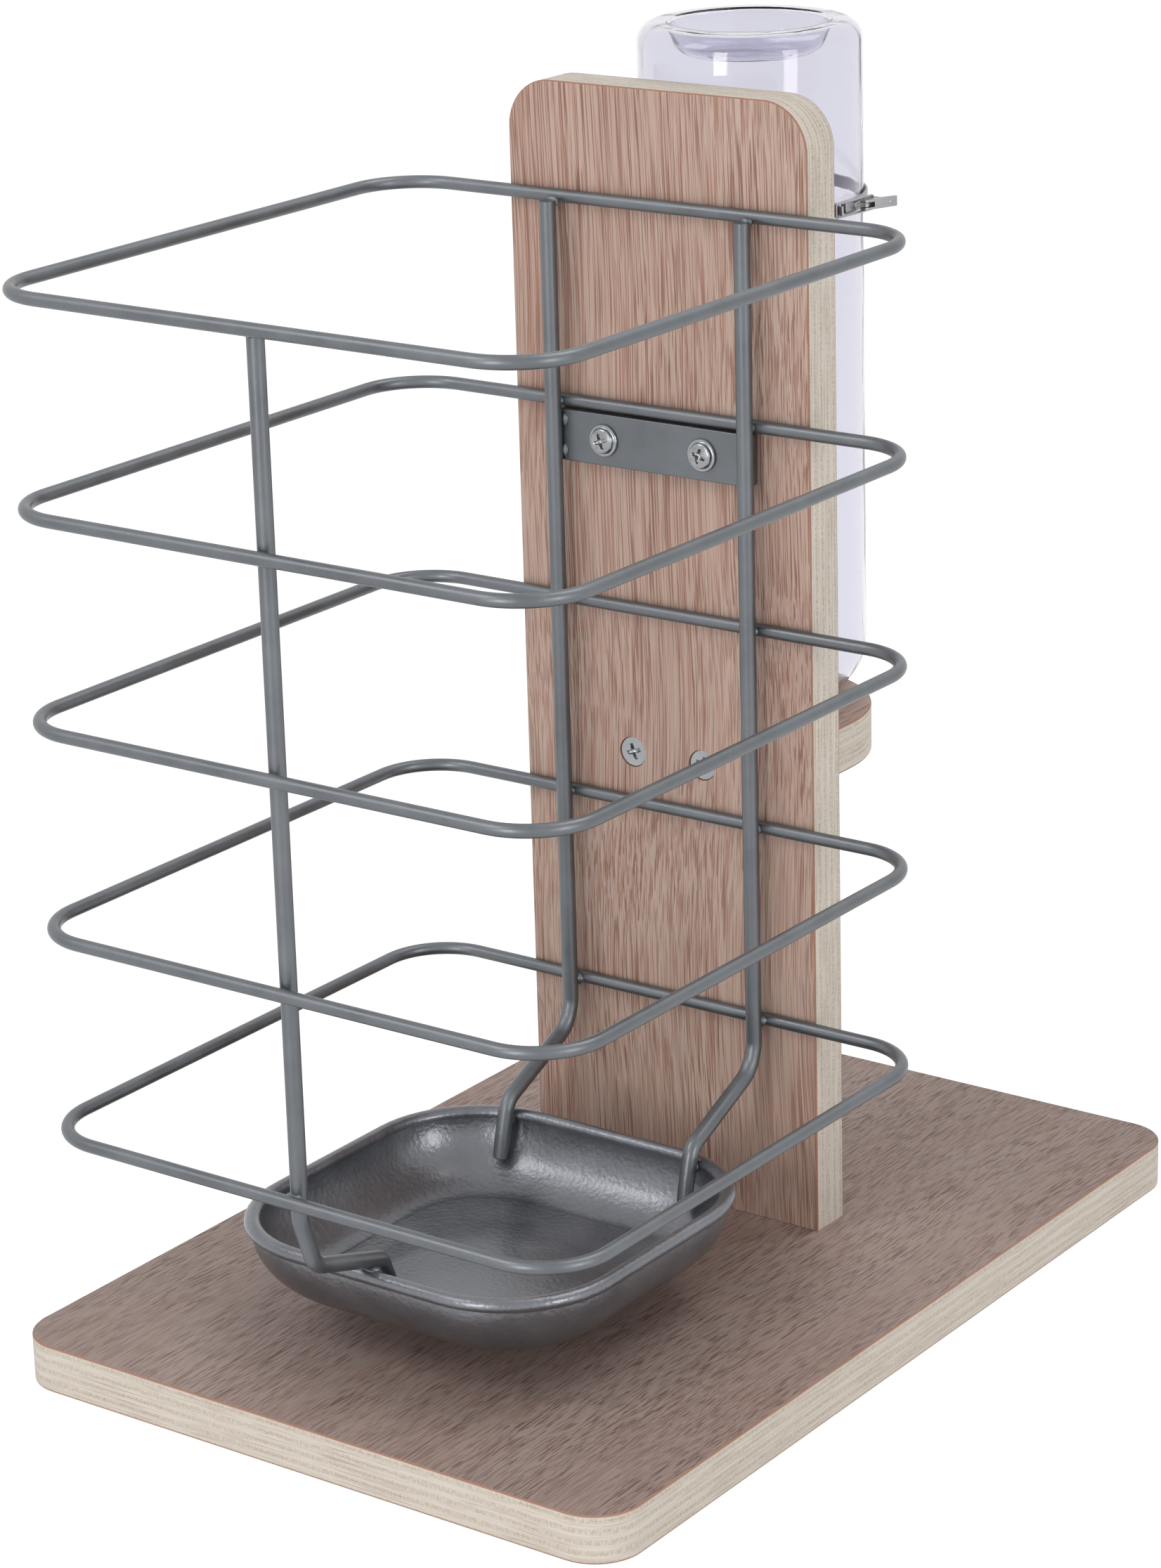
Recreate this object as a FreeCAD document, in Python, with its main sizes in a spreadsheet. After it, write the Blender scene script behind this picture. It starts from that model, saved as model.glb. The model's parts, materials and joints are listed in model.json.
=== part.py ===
"""Feeding stand for small pets: plywood stand, wire basket with tray, bottle in a latched clamp.

Frame: +Z up, the basket towards -Y, the bottle towards +Y, millimetres.
The origin is the centre of the base board's underside.
"""
import FreeCAD, Part
import itertools
import math
import os
import re
import Sketcher

VECTOR = FreeCAD.Vector
TURN_AXIS_X = VECTOR(1, 0, 0)

SIZES = {
    # plywood boards
    "board_thickness": 15.0,
    "base_width": 220.0,
    "base_depth": 320.0,
    "base_corner": 15.0,
    "post_width": 107.0,
    "post_height": 353.4,
    "post_corner": 15.0,
    "post_front": 32.0,
    "shelf_width": 83.0,
    "shelf_reach": 66.3,
    "shelf_top": 169.0,
    "shelf_end_flat": 0.5,
    "neck_hole_gap": 2.9,
    # wire basket
    "ring_width": 190.0,
    "ring_depth": 187.5,
    "ring_corner": 20.5,
    "ring_wire": 2.0,
    "ring_top": 334.4,
    "ring_pitch": 62.7,
    "upright_wire": 2.5,
    "upright_spacing": 70.0,
    "upright_drop": 1.0,
    "weld_gap": 0.03,
    "bend_wide": 10.0,
    "bend_tight": 7.0,
    "bend_hook": 4.0,
    "knee_drop": 7.6,
    "knee_step": 2.6,
    # feet of the uprights in the tray
    "foot_gap": 0.2,
    "foot_lift": 3.8,
    "foot_lean": 5.1,
    "foot_reach": 14.5,
    "rim_gap": 0.4,
    "heel_lift": 7.0,
    "toe_start": 9.5,
    "toe_dip": 2.3,
    "toe_end": 13.5,
    "toe_drop": 9.8,
    # plate that hangs the basket on the post
    "plate_height": 16.0,
    "plate_drop": 0.5,
    "plate_corner": 0.6,
    # tray
    "tray_width": 127.0,
    "tray_depth": 125.0,
    "tray_corner": 36.0,
    "tray_back": 1.2,
    "tray_top": 50.5,
    "tray_rise": 24.0,
    "tray_wall": 1.2,
    "bead_radius": 2.2,
    "tray_slope": 16.5,
    "corner_shrink": 0.6,
    # screws
    "shank_radius": 1.9,
    "pilot_gap": 0.1,
    "pan_radius": 5.0,
    "pan_height": 2.6,
    "pan_flange": 0.8,
    "pan_tip": 3.0,
    "dome_share": 0.8,
    "dome_rounding": 1.2,
    "flat_radius": 4.8,
    "flat_rim": 0.4,
    "flat_depth": 3.2,
    "flat_tip": 4.0,
    "recess_reach": 2.5,
    "recess_width": 0.9,
    "recess_depth": 1.6,
    "plate_screw_spacing": 36.0,
    "plate_screw_length": 14.0,
    "shelf_screw_spacing": 26.0,
    "shelf_screw_length": 42.0,
    "post_screw_spacing": 60.0,
    "post_screw_length": 45.0,
    "sink": 0.4,
    "pilot_depth": 2.0,
    # bottle
    "bottle_radius": 34.2,
    "bottle_top": 382.0,
    "bottle_wall": 0.9,
    "shoulder_radius": 19.0,
    "heel_radius": 6.2,
    "punt_radius": 21.0,
    "punt_rise": 9.0,
    "punt_fillet": 4.0,
    "standing_width": 3.0,
    "standing_rounding": 1.2,
    "seat_gap": 0.3,
    "neck_radius": 12.4,
    "neck_length": 22.0,
    "neck_wall": 2.0,
    "neck_fillet": 1.5,
    # cap, seal, drinking tube and valve ball
    "cap_wall": 2.4,
    "cap_floor": 1.6,
    "cap_skirt": 14.0,
    "cap_rounding": 0.8,
    "thread_gap": 0.3,
    "seal_thickness": 1.8,
    "tube_radius": 4.0,
    "tube_wall": 1.0,
    "tube_gap": 0.05,
    "tube_drop": 27.0,
    "tube_tip": 24.0,
    "tube_lean": 30.0,
    "tube_bend": 12.0,
    "tube_flange": 6.5,
    "tube_flange_height": 1.0,
    "lip_length": 1.0,
    "lip_radius": 2.4,
    "ball_radius": 2.8,
    "ball_gap": 0.1,
    # clamp
    "clamp_height": 328.2,
    "band_height": 4.0,
    "band_thickness": 0.8,
    "band_gap": 0.4,
    "bracket_width": 48.0,
    "bracket_height": 12.0,
    "bracket_thickness": 0.8,
    "clamp_screw_spacing": 36.0,
    "clamp_screw_length": 11.0,
    "clamp_shank_radius": 1.4,
    "clamp_head_radius": 3.2,
    "clamp_head_height": 1.9,
    "clamp_flange": 0.4,
    "clamp_recess_scale": 0.65,
    # latch on the clamp
    "band_opening_angle": -7.0,
    "band_opening": 3.0,
    "latch_angle": 7.0,
    "latch_span": 23.0,
    "latch_sheet": 0.6,
    "pivot_height": 3.0,
    "pin_radius": 0.7,
    "pin_gap": 0.05,
    "lug_thickness": 1.4,
    "lug_root": 2.2,
    "lug_width": 1.3,
    "lug_rounding": 1.1,
    "lug_wall": 0.6,
    "fork_gap": 0.1,
    "fork_end": 2.2,
    "lever_height": 3.0,
    "lever_length": 10.8,
    "lever_direction": 73.0,
    "eye_wall": 0.8,
    "eye_rounding": 1.3,
    "handle_start": 1.6,
    "handle_drop": 0.9,
    "handle_thickness": 1.2,
    "handle_rounding": 0.5,
    "ear_half": 1.2,
    "ear_wall": 0.7,
    "ear_rounding": 1.0,
    "link_offset": 4.2,
    "link_depth": 1.6,
    "loop_wire": 0.4,
    "loop_gap": 0.15,
    "hook_gap": 0.7,
    "strike_angle": -17.0,
    "strike_span": 14.0,
    "strike_tab": 3.2,
    "tab_offset": 3.2,
    "tab_thickness": 0.8,
    "strike_height": 2.8,
    "strike_slack": 0.5,
}
RING_COUNT = 5
OVERSHOOT = 1.0
TRAY_CURVE = ((0.0, 1.0), (0.14, 0.58), (0.41, 0.24), (1.0, 0.0))

POST_REAR = "(post_front + board_thickness)"
RING_BACK = "(post_front - weld_gap - ring_wire)"
RING_FRONT = f"({RING_BACK} - ring_depth)"
RING_MIDDLE = f"({RING_BACK} - ring_depth / 2)"
RING_LOWEST = f"(ring_top - {RING_COUNT - 1} * ring_pitch)"
PLATE_THICKNESS = "(2 * ring_wire + weld_gap)"
PLATE_FRONT = f"(post_front - {PLATE_THICKNESS})"
PLATE_MIDDLE = "(ring_top - ring_pitch - ring_wire - plate_drop - plate_height / 2)"
UPRIGHT_BACK = f"({PLATE_FRONT} - weld_gap - upright_wire)"
UPRIGHT_FRONT = f"({RING_FRONT} + ring_wire + weld_gap + upright_wire)"
UPRIGHT_TOP = "(ring_top - upright_drop)"
TRAY_MIDDLE = f"({RING_MIDDLE} - tray_back)"
TRAY_BACK_EDGE = f"({TRAY_MIDDLE} + tray_depth / 2)"
TRAY_FRONT_EDGE = f"({TRAY_MIDDLE} - tray_depth / 2)"
BEAD_HEIGHT = "(tray_top - bead_radius)"
BEAD_CORNER = "(tray_corner - 2 * bead_radius)"
FOOT_PAST_CORNER = "max(0; upright_spacing / 2 + upright_wire - tray_width / 2 + tray_corner)"
FOOT_SETBACK = f"({BEAD_CORNER} - sqrt({BEAD_CORNER} ^ 2 - {FOOT_PAST_CORNER} ^ 2))"
FOOT_PLANE = f"({TRAY_BACK_EDGE} - 2 * bead_radius - {FOOT_SETBACK} - foot_gap - upright_wire)"
FOOT_KNEE = f"({FOOT_PLANE} + foot_lean / 3)"
TRAY_BOTTOM = "(tray_top - tray_rise)"
PILOT_RADIUS = "(shank_radius + pilot_gap)"
SHELF_MIDDLE = "(shelf_top - board_thickness / 2)"
THROUGH_BOARD = f"(board_thickness + 2 * {OVERSHOOT})"
SINK_DEPTH = f"(sink + flat_rim + pilot_gap + {OVERSHOOT})"
BAND_INNER = "(bottle_radius + band_gap)"
BAND_OUTER = f"({BAND_INNER} + band_thickness)"
BOTTLE_AXIS = f"({POST_REAR} + bracket_thickness + weld_gap + {BAND_OUTER})"
SHOULDER_FOOT = "(shelf_top + seat_gap)"
MOUTH = f"({SHOULDER_FOOT} - neck_length)"
SEAL_TOP = f"({MOUTH} - seat_gap)"
CAP_TOP_FACE = f"({SEAL_TOP} - seal_thickness)"
CAP_BOTTOM = f"({CAP_TOP_FACE} - cap_floor)"
CAP_INNER = "(neck_radius + thread_gap)"
NECK_HOLE = f"({CAP_INNER} + cap_wall + neck_hole_gap)"
TUBE_TOP = f"({SEAL_TOP} + tube_flange_height + tube_gap)"
TUBE_KNEE = f"({CAP_BOTTOM} - tube_drop)"
SHEET_OUTER = f"({BAND_OUTER} + weld_gap + latch_sheet)"
PIVOT_REACH = f"({BAND_OUTER} + pivot_height)"
PIVOT_X = f"({PIVOT_REACH} * cos(latch_angle))"
PIVOT_Y = f"({PIVOT_REACH} * sin(latch_angle))"
LINK_X = f"({PIVOT_X} + link_offset * cos(lever_direction) - link_depth * sin(lever_direction))"
LINK_Y = f"({PIVOT_Y} + link_offset * sin(lever_direction) + link_depth * cos(lever_direction))"
LOOP_REACH = f"({SHEET_OUTER} + loop_wire + hook_gap)"
LOOP_BACK = "(tab_offset - strike_slack - loop_wire)"
HOOK_X = f"({LOOP_REACH} * cos(strike_angle) - {LOOP_BACK} * sin(strike_angle))"
HOOK_Y = f"({LOOP_REACH} * sin(strike_angle) + {LOOP_BACK} * cos(strike_angle))"
LOOP_LENGTH = f"sqrt(({LINK_X} - {HOOK_X}) ^ 2 + ({LINK_Y} - {HOOK_Y}) ^ 2)"
LOOP_TURN = f"atan(({LINK_X} - {HOOK_X}) / ({LINK_Y} - {HOOK_Y}))"
LOOP_HALF = "(lever_height / 2 + loop_gap + loop_wire)"
LOOP_CORNER = "(loop_gap + loop_wire)"

doc = FreeCAD.newDocument("feeding_stand")
sheet = doc.addObject("Spreadsheet::Sheet", "Sizes")
worked = doc.addObject("Spreadsheet::Sheet", "Worked")
worked_rows = itertools.count(1)


def fill_sheet():
    """Write every driving size into the sheet under its own name."""
    for row, (alias, number) in enumerate(SIZES.items(), start=1):
        sheet.set(f"A{row}", alias)
        sheet.set(f"B{row}", str(number))
        sheet.setAlias(f"B{row}", alias)
    doc.recompute()


def bound(expression):
    """Point every size named in an expression at the sheet."""
    def link(word):
        return f"Sizes.{word.group()}" if word.group() in SIZES else word.group()
    return re.sub(r"[a-z_]+", link, str(expression))


def value(expression):
    """Work out an expression now, as a plain number."""
    answer = sheet.evalExpression(bound(expression))
    return float(getattr(answer, "Value", answer))


def derived(expression):
    """Keep a worked-out number in the second sheet and return the name of its cell."""
    cell = f"A{next(worked_rows)}"
    worked.set(cell, f"={bound(expression)}")
    return f"Worked.{cell}"


def place(item, x="0", y="0", z="0"):
    """Tie an object's position to the sheet."""
    for axis, expression in (("x", x), ("y", y), ("z", z)):
        item.setExpression(f".Placement.Base.{axis}", bound(expression))


def turn(item, axis, degrees):
    """Turn an object about an axis through its own origin."""
    item.Placement = FreeCAD.Placement(item.Placement.Base, FreeCAD.Rotation(axis, degrees))


def new_body(name, x="0", y="0", z="0"):
    """Start a body at a bound position."""
    body = doc.addObject("PartDesign::Body", name)
    body.Label = name
    place(body, x, y, z)
    return body


def new_sketch(body, plane, lift="0"):
    """Attach a sketch to one of the body's own origin planes."""
    sketch = body.newObject("Sketcher::SketchObject", f"{body.Name}_sketch")
    support = next(item for item in body.Origin.OriginFeatures if item.Role == plane)
    sketch.AttachmentSupport = [(support, "")]
    sketch.MapMode = "FlatFace"
    sketch.setExpression(".AttachmentOffset.Base.z", bound(lift))
    return sketch


def fix(sketch, kind, numbers, expression, start=None):
    """Add one sketch dimension and tie it to the sheet."""
    start = value(expression) if start is None else start
    index = sketch.addConstraint(Sketcher.Constraint(kind, *numbers, start))
    sketch.renameConstraint(index, f"size_{index}")
    sketch.setExpression(f"Constraints.size_{index}", bound(expression))


def fix_point(sketch, geometry, position, x, y, start=None):
    """Hold a sketch point at bound coordinates."""
    start = start or VECTOR(value(x), value(y), 0)
    fix(sketch, "DistanceX", (-1, 1, geometry, position), x, start.x)
    fix(sketch, "DistanceY", (-1, 1, geometry, position), y, start.y)


def corner_arc(before, corner, after, radius):
    """Return the two tangent points and the middle of the arc that rounds a corner."""
    towards_before = (before - corner).normalize()
    towards_after = (after - corner).normalize()
    half = towards_before.getAngle(towards_after) / 2
    inward = (towards_before + towards_after).normalize()
    run = radius / math.tan(half)
    middle = corner + inward * (radius / math.sin(half) - radius)
    return corner + towards_before * run, middle, corner + towards_after * run


def tangent_points(before, corner, after):
    """Give expressions for the two points where a corner's arc leaves its sides.

    With unit vectors u and v from the corner along its two sides, each point lies
    radius * sqrt((1 + u . v) / (1 - u . v)) from the corner.
    """
    sides = []
    for other in (before, after):
        across = derived(f"({other[0]}) - ({corner[0]})")
        along = derived(f"({other[1]}) - ({corner[1]})")
        length = derived(f"sqrt({across} ^ 2 + {along} ^ 2)")
        sides.append((f"{across} / {length}", f"{along} / {length}"))
    (first_x, first_y), (second_x, second_y) = sides
    dot = derived(f"{first_x} * {second_x} + {first_y} * {second_y}")
    run = derived(f"({corner[2]}) * sqrt((1 + {dot}) / (1 - {dot}))")
    return [(f"({corner[0]}) + {x} * {run}", f"({corner[1]}) + {y} * {run}") for x, y in sides]


def draw(sketch, corners, closed=True):
    """Draw an outline or a path through corners given as (x, y) or (x, y, rounding radius)."""
    points = [VECTOR(value(corner[0]), value(corner[1]), 0) for corner in corners]
    count = len(points)
    starts = list(points)
    ends = list(points)
    arcs = {}
    for index, corner in enumerate(corners):
        if len(corner) > 2:
            arcs[index] = corner_arc(points[index - 1], points[index], points[(index + 1) % count],
                                     value(corner[2]))
            ends[index], starts[index] = arcs[index][0], arcs[index][2]
    lines = []
    for index in range(count if closed else count - 1):
        line = Part.LineSegment(starts[index], ends[(index + 1) % count])
        lines.append(sketch.addGeometry(line, False))
    for index, corner in enumerate(corners):
        before = lines[index - 1] if closed or index > 0 else None
        after = lines[index] if index < len(lines) else None
        if index in arcs:
            round_corner(sketch, before, after, arcs[index], corners[index - 1], corner,
                         corners[(index + 1) % count])
        elif before is None:
            fix_point(sketch, after, 1, corner[0], corner[1])
        else:
            fix_point(sketch, before, 2, corner[0], corner[1])
            if after is not None:
                sketch.addConstraint(Sketcher.Constraint("Coincident", before, 2, after, 1))


def round_corner(sketch, line_in, line_out, points, before, corner, after):
    """Join two lines with a tangent arc whose ends and radius are bound."""
    leftward = (points[1] - points[0]).cross(points[2] - points[1]).z > 0
    arc = sketch.addGeometry(Part.Arc(*(points if leftward else points[::-1])), False)
    first, last = (1, 2) if leftward else (2, 1)
    (in_x, in_y), (out_x, out_y) = tangent_points(before, corner, after)
    fix_point(sketch, line_in, 2, in_x, in_y, points[0])
    fix_point(sketch, line_out, 1, out_x, out_y, points[2])
    sketch.addConstraint(Sketcher.Constraint("Coincident", line_in, 2, arc, first))
    sketch.addConstraint(Sketcher.Constraint("Coincident", line_out, 1, arc, last))
    fix(sketch, "Radius", (arc,), corner[2])


def circle(sketch, x, y, radius):
    """Draw a circle at bound coordinates."""
    shape = Part.Circle(VECTOR(value(x), value(y), 0), VECTOR(0, 0, 1), value(radius))
    index = sketch.addGeometry(shape, False)
    fix_point(sketch, index, 3, x, y)
    fix(sketch, "Radius", (index,), radius)


def rounded(width, depth, radius):
    """Give the corners of a rounded rectangle centred on the sketch's origin."""
    half_x = f"({width}) / 2"
    half_y = f"({depth}) / 2"
    return [(f"-{half_x}", f"-{half_y}", radius), (half_x, f"-{half_y}", radius),
            (half_x, half_y, radius), (f"-{half_x}", half_y, radius)]


def loop_path(width, depth, radius):
    """Give a closed rounded rectangle that starts at the middle of its lower side."""
    return [("0", f"-({depth}) / 2")] + [rounded(width, depth, radius)[index] for index in (1, 2, 3, 0)]


def finish(body, feature):
    """Make a feature the body's tip and return the body."""
    body.Tip = feature
    return body


def pad(body, sketch, length, symmetric=False, backwards=False):
    """Pad a sketch by a bound length."""
    feature = body.newObject("PartDesign::Pad", f"{body.Name}_pad")
    feature.Profile = sketch
    feature.SideType = "Symmetric" if symmetric else "One side"
    feature.Reversed = backwards
    feature.setExpression("Length", bound(length))
    return feature


def pocket(body, sketch, depth, backwards=False):
    """Pocket a sketch by a bound depth."""
    feature = body.newObject("PartDesign::Pocket", f"{body.Name}_pocket")
    feature.Profile = sketch
    feature.Reversed = backwards
    feature.setExpression("Length", bound(depth))
    return feature


def revolve(body, sketch, angle=360, symmetric=False):
    """Revolve a sketch about the vertical axis of its own plane."""
    feature = body.newObject("PartDesign::Revolution", f"{body.Name}_revolution")
    feature.Profile = sketch
    feature.ReferenceAxis = (sketch, ["V_Axis"])
    feature.Midplane = symmetric
    feature.setExpression("Angle", bound(angle))
    return feature


def pipe(body, profile, spine, kind="Additive"):
    """Sweep a profile along a spine sketch."""
    feature = body.newObject(f"PartDesign::{kind}Pipe", f"{body.Name}_pipe")
    feature.Profile = profile
    feature.Spine = (spine, [""])
    return feature


def loft(body, sketches, kind="Additive"):
    """Loft through a list of section sketches."""
    feature = body.newObject(f"PartDesign::{kind}Loft", f"{body.Name}_loft")
    feature.Profile = sketches[0]
    feature.Sections = sketches[1:]
    return feature


def cylinder(name, radius, height, x="0", y="0", z="0", lean=0):
    """Make a bound cylinder; lean turns it about X, so -90 points it along +Y."""
    item = doc.addObject("Part::Cylinder", name)
    item.setExpression("Radius", bound(radius))
    item.setExpression("Height", bound(height))
    turn(item, TURN_AXIS_X, lean)
    place(item, x, y, z)
    return item


def cone(name, low, high, height, x="0", y="0", z="0", lean=0):
    """Make a bound cone frustum."""
    item = doc.addObject("Part::Cone", name)
    item.setExpression("Radius1", bound(low))
    item.setExpression("Radius2", bound(high))
    item.setExpression("Height", bound(height))
    turn(item, TURN_AXIS_X, lean)
    place(item, x, y, z)
    return item


def cut(name, base, tools):
    """Cut two or more tools from a base and keep the base's name for the result."""
    base.Label = f"{name}_blank"
    joined = doc.addObject("Part::MultiFuse", f"{name}_tools")
    joined.Shapes = tools
    item = doc.addObject("Part::Cut", f"{name}_cut")
    item.Base = base
    item.Tool = joined
    item.Label = name
    return item


def both_sides(spacing):
    """Give the two mirrored positions of a pair, left then right."""
    return (("left", f"-{spacing} / 2"), ("right", f"{spacing} / 2"))


def base_board():
    """Make the board the stand rests on, with sunk holes for the screws up into the post."""
    body = new_body("base_board")
    outline = new_sketch(body, "XY_Plane")
    draw(outline, rounded("base_width", "base_depth", "base_corner"))
    finish(body, pad(body, outline, "board_thickness"))
    tools = []
    for side, x in both_sides("post_screw_spacing"):
        y = "post_front + board_thickness / 2"
        tools.append(cylinder(f"base_hole_{side}", PILOT_RADIUS, THROUGH_BOARD, x, y, f"-{OVERSHOOT}"))
        tools.append(cylinder(f"base_sink_{side}", "flat_radius + pilot_gap", SINK_DEPTH,
                              x, y, f"-{OVERSHOOT}"))
        tools.append(cone(f"base_seat_{side}", "flat_radius + pilot_gap", PILOT_RADIUS,
                          "flat_depth - flat_rim", x, y, "sink + flat_rim + pilot_gap"))
    return cut("base_board", body, tools)


def post():
    """Make the upright board with its rounded top corners and all its screw holes."""
    body = new_body("post", y="post_front", z="board_thickness")
    outline = new_sketch(body, "XZ_Plane")
    half = "post_width / 2"
    draw(outline, [(f"-{half}", "0"), (half, "0"), (half, "post_height", "post_corner"),
                   (f"-{half}", "post_height", "post_corner")])
    finish(body, pad(body, outline, "board_thickness", backwards=True))
    tools = []
    for side, x in both_sides("plate_screw_spacing"):
        tools.append(cylinder(f"plate_pilot_{side}", PILOT_RADIUS,
                              f"plate_screw_length - {PLATE_THICKNESS} + pilot_depth + {OVERSHOOT}",
                              x, f"post_front - {OVERSHOOT}", PLATE_MIDDLE, -90))
    for side, x in both_sides("shelf_screw_spacing"):
        tools.append(cylinder(f"shelf_hole_{side}", PILOT_RADIUS, THROUGH_BOARD,
                              x, f"post_front - {OVERSHOOT}", SHELF_MIDDLE, -90))
        tools.append(cylinder(f"shelf_sink_{side}", "flat_radius + pilot_gap", SINK_DEPTH,
                              x, f"post_front - {OVERSHOOT}", SHELF_MIDDLE, -90))
        tools.append(cone(f"shelf_seat_{side}", "flat_radius + pilot_gap", PILOT_RADIUS,
                          "flat_depth - flat_rim", x, "post_front + sink + flat_rim + pilot_gap",
                          SHELF_MIDDLE, -90))
    for side, x in both_sides("post_screw_spacing"):
        tools.append(cylinder(f"post_pilot_{side}", PILOT_RADIUS,
                              f"post_screw_length + sink + pilot_depth - board_thickness + {OVERSHOOT}",
                              x, "post_front + board_thickness / 2", f"board_thickness - {OVERSHOOT}"))
    for side, x in both_sides("clamp_screw_spacing"):
        tools.append(cylinder(f"clamp_pilot_{side}", "clamp_shank_radius + pilot_gap",
                              f"clamp_screw_length + {OVERSHOOT}",
                              x, f"{POST_REAR} + {OVERSHOOT}", "clamp_height", 90))
    return cut("post", body, tools)


def bottle_shelf():
    """Make the round-ended shelf behind the post with its hole for the bottle's neck."""
    body = new_body("bottle_shelf", y=POST_REAR, z="shelf_top - board_thickness")
    outline = new_sketch(body, "XY_Plane")
    half = "shelf_width / 2"
    end = "shelf_width / 2 - shelf_end_flat"
    draw(outline, [(f"-{half}", "0"), (half, "0"), (half, "shelf_reach", end),
                   (f"-{half}", "shelf_reach", end)])
    finish(body, pad(body, outline, "board_thickness"))
    tools = [cylinder("neck_hole", NECK_HOLE, THROUGH_BOARD, "0", BOTTLE_AXIS,
                      f"shelf_top - board_thickness - {OVERSHOOT}")]
    for side, x in both_sides("shelf_screw_spacing"):
        tools.append(cylinder(f"shelf_pilot_{side}", PILOT_RADIUS,
                              f"shelf_screw_length + sink + pilot_depth - board_thickness + {OVERSHOOT}",
                              x, f"{POST_REAR} - {OVERSHOOT}", SHELF_MIDDLE, -90))
    return cut("bottle_shelf", body, tools)


def ring(number):
    """Make one wire hoop of the basket, counted from the top."""
    name = f"ring_{number}"
    body = new_body(name, "0", RING_MIDDLE, f"ring_top - {number - 1} * ring_pitch")
    spine = new_sketch(body, "XY_Plane")
    draw(spine, loop_path("ring_width", "ring_depth", "ring_corner"))
    section = new_sketch(body, "YZ_Plane")
    circle(section, "-ring_depth / 2", "0", "ring_wire")
    return finish(body, pipe(body, section, spine))


def bent_wire(name, x, corners):
    """Make an upright of round wire that follows a path of (y, z) corners from its top down."""
    body = new_body(name, x)
    spine = new_sketch(body, "YZ_Plane")
    draw(spine, corners, closed=False)
    section = new_sketch(body, "XY_Plane", corners[0][1])
    circle(section, "0", corners[0][0], "upright_wire")
    return finish(body, pipe(body, section, spine))


def back_uprights():
    """Make the two back uprights, which end in feet against the tray's back wall."""
    corners = [(UPRIGHT_BACK, UPRIGHT_TOP),
               (UPRIGHT_BACK, f"{RING_LOWEST} - knee_drop", "bend_wide"),
               (f"{UPRIGHT_BACK} - knee_step", f"{RING_LOWEST} - 2 * knee_drop", "bend_wide"),
               (FOOT_KNEE, "tray_top + foot_lift", "bend_tight"),
               (f"{FOOT_KNEE} - foot_lean", "tray_top - foot_reach")]
    return [bent_wire(f"upright_{side}", x, corners) for side, x in both_sides("upright_spacing")]


def front_upright():
    """Make the front upright, whose foot reaches in over the tray's front rim."""
    over_rim = "tray_top + upright_wire + rim_gap"
    corners = [(UPRIGHT_FRONT, UPRIGHT_TOP),
               (UPRIGHT_FRONT, f"{RING_LOWEST} - knee_drop", "bend_wide"),
               (f"{UPRIGHT_FRONT} + 2 * knee_step", f"{over_rim} + heel_lift", "bend_tight"),
               (f"{TRAY_FRONT_EDGE} + toe_start", f"{over_rim} - toe_dip", "bend_hook"),
               (f"{TRAY_FRONT_EDGE} + toe_end", f"{over_rim} - toe_drop")]
    return bent_wire("upright_front", "0", corners)


def mounting_plate():
    """Make the plate behind the back uprights that two screws hold on the post."""
    body = new_body("mounting_plate", y="post_front", z=PLATE_MIDDLE)
    outline = new_sketch(body, "XZ_Plane")
    draw(outline, rounded("upright_spacing", "plate_height", "plate_corner"))
    finish(body, pad(body, outline, PLATE_THICKNESS))
    tools = [cylinder(f"plate_hole_{side}", PILOT_RADIUS, f"{PLATE_THICKNESS} + 2 * {OVERSHOOT}", x,
                      f"post_front + {OVERSHOOT}", PLATE_MIDDLE, 90)
             for side, x in both_sides("plate_screw_spacing")]
    return cut("mounting_plate", body, tools)


def tray_sections(body, inset, floor):
    """Draw the tray's rounded sections, from its floor up to the bead.

    Each pair in TRAY_CURVE is a share of the wall's height and the share of its slope left there.
    """
    sections = []
    climb = f"({BEAD_HEIGHT} - {TRAY_BOTTOM} - ({floor}))"
    for rise, spread in TRAY_CURVE:
        narrow = f"(bead_radius - tray_wall / 2 + {inset} + {spread} * tray_slope)"
        sketch = new_sketch(body, "XY_Plane", f"{TRAY_BOTTOM} + {floor} + {rise} * {climb}")
        draw(sketch, rounded(f"tray_width - 2 * {narrow}", f"tray_depth - 2 * {narrow}",
                             f"tray_corner - corner_shrink * {narrow}"))
        sections.append(sketch)
    return sections


def tray():
    """Make the pressed tray: a curved wall, a flat floor and a rolled bead round the rim."""
    body = new_body("tray", y=TRAY_MIDDLE)
    loft(body, tray_sections(body, "0", "0"))
    loft(body, tray_sections(body, "tray_wall", "tray_wall"), "Subtractive")
    spine = new_sketch(body, "XY_Plane", BEAD_HEIGHT)
    draw(spine, loop_path("tray_width - 2 * bead_radius", "tray_depth - 2 * bead_radius",
                          "tray_corner - bead_radius"))
    section = new_sketch(body, "YZ_Plane")
    circle(section, "bead_radius - tray_depth / 2", BEAD_HEIGHT, "bead_radius")
    return finish(body, pipe(body, section, spine))


def cross(reach, width):
    """Give the corners of a plus sign for a screw's recess."""
    arm = f"({reach})"
    half = f"({width}) / 2"
    quarter = [(arm, f"-{half}"), (arm, half), (half, half)]
    corners = []
    for across, along in ((1, 0), (0, 1), (-1, 0), (0, -1)):
        for x, y in quarter:
            corners.append((f"{across} * {x} - {along} * {y}", f"{along} * {x} + {across} * {y}"))
    return corners


def pan_profile(head, height, flange, shank, length):
    """Give the half section of a flanged pan head screw, its head above zero."""
    dome = f"{head} * dome_share"
    return [("0", height), (dome, height, "dome_rounding"), (dome, flange), (head, flange), (head, "0"),
            (shank, "0"), (shank, f"pan_tip - {length}"), ("0", f"-{length}")]


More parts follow.
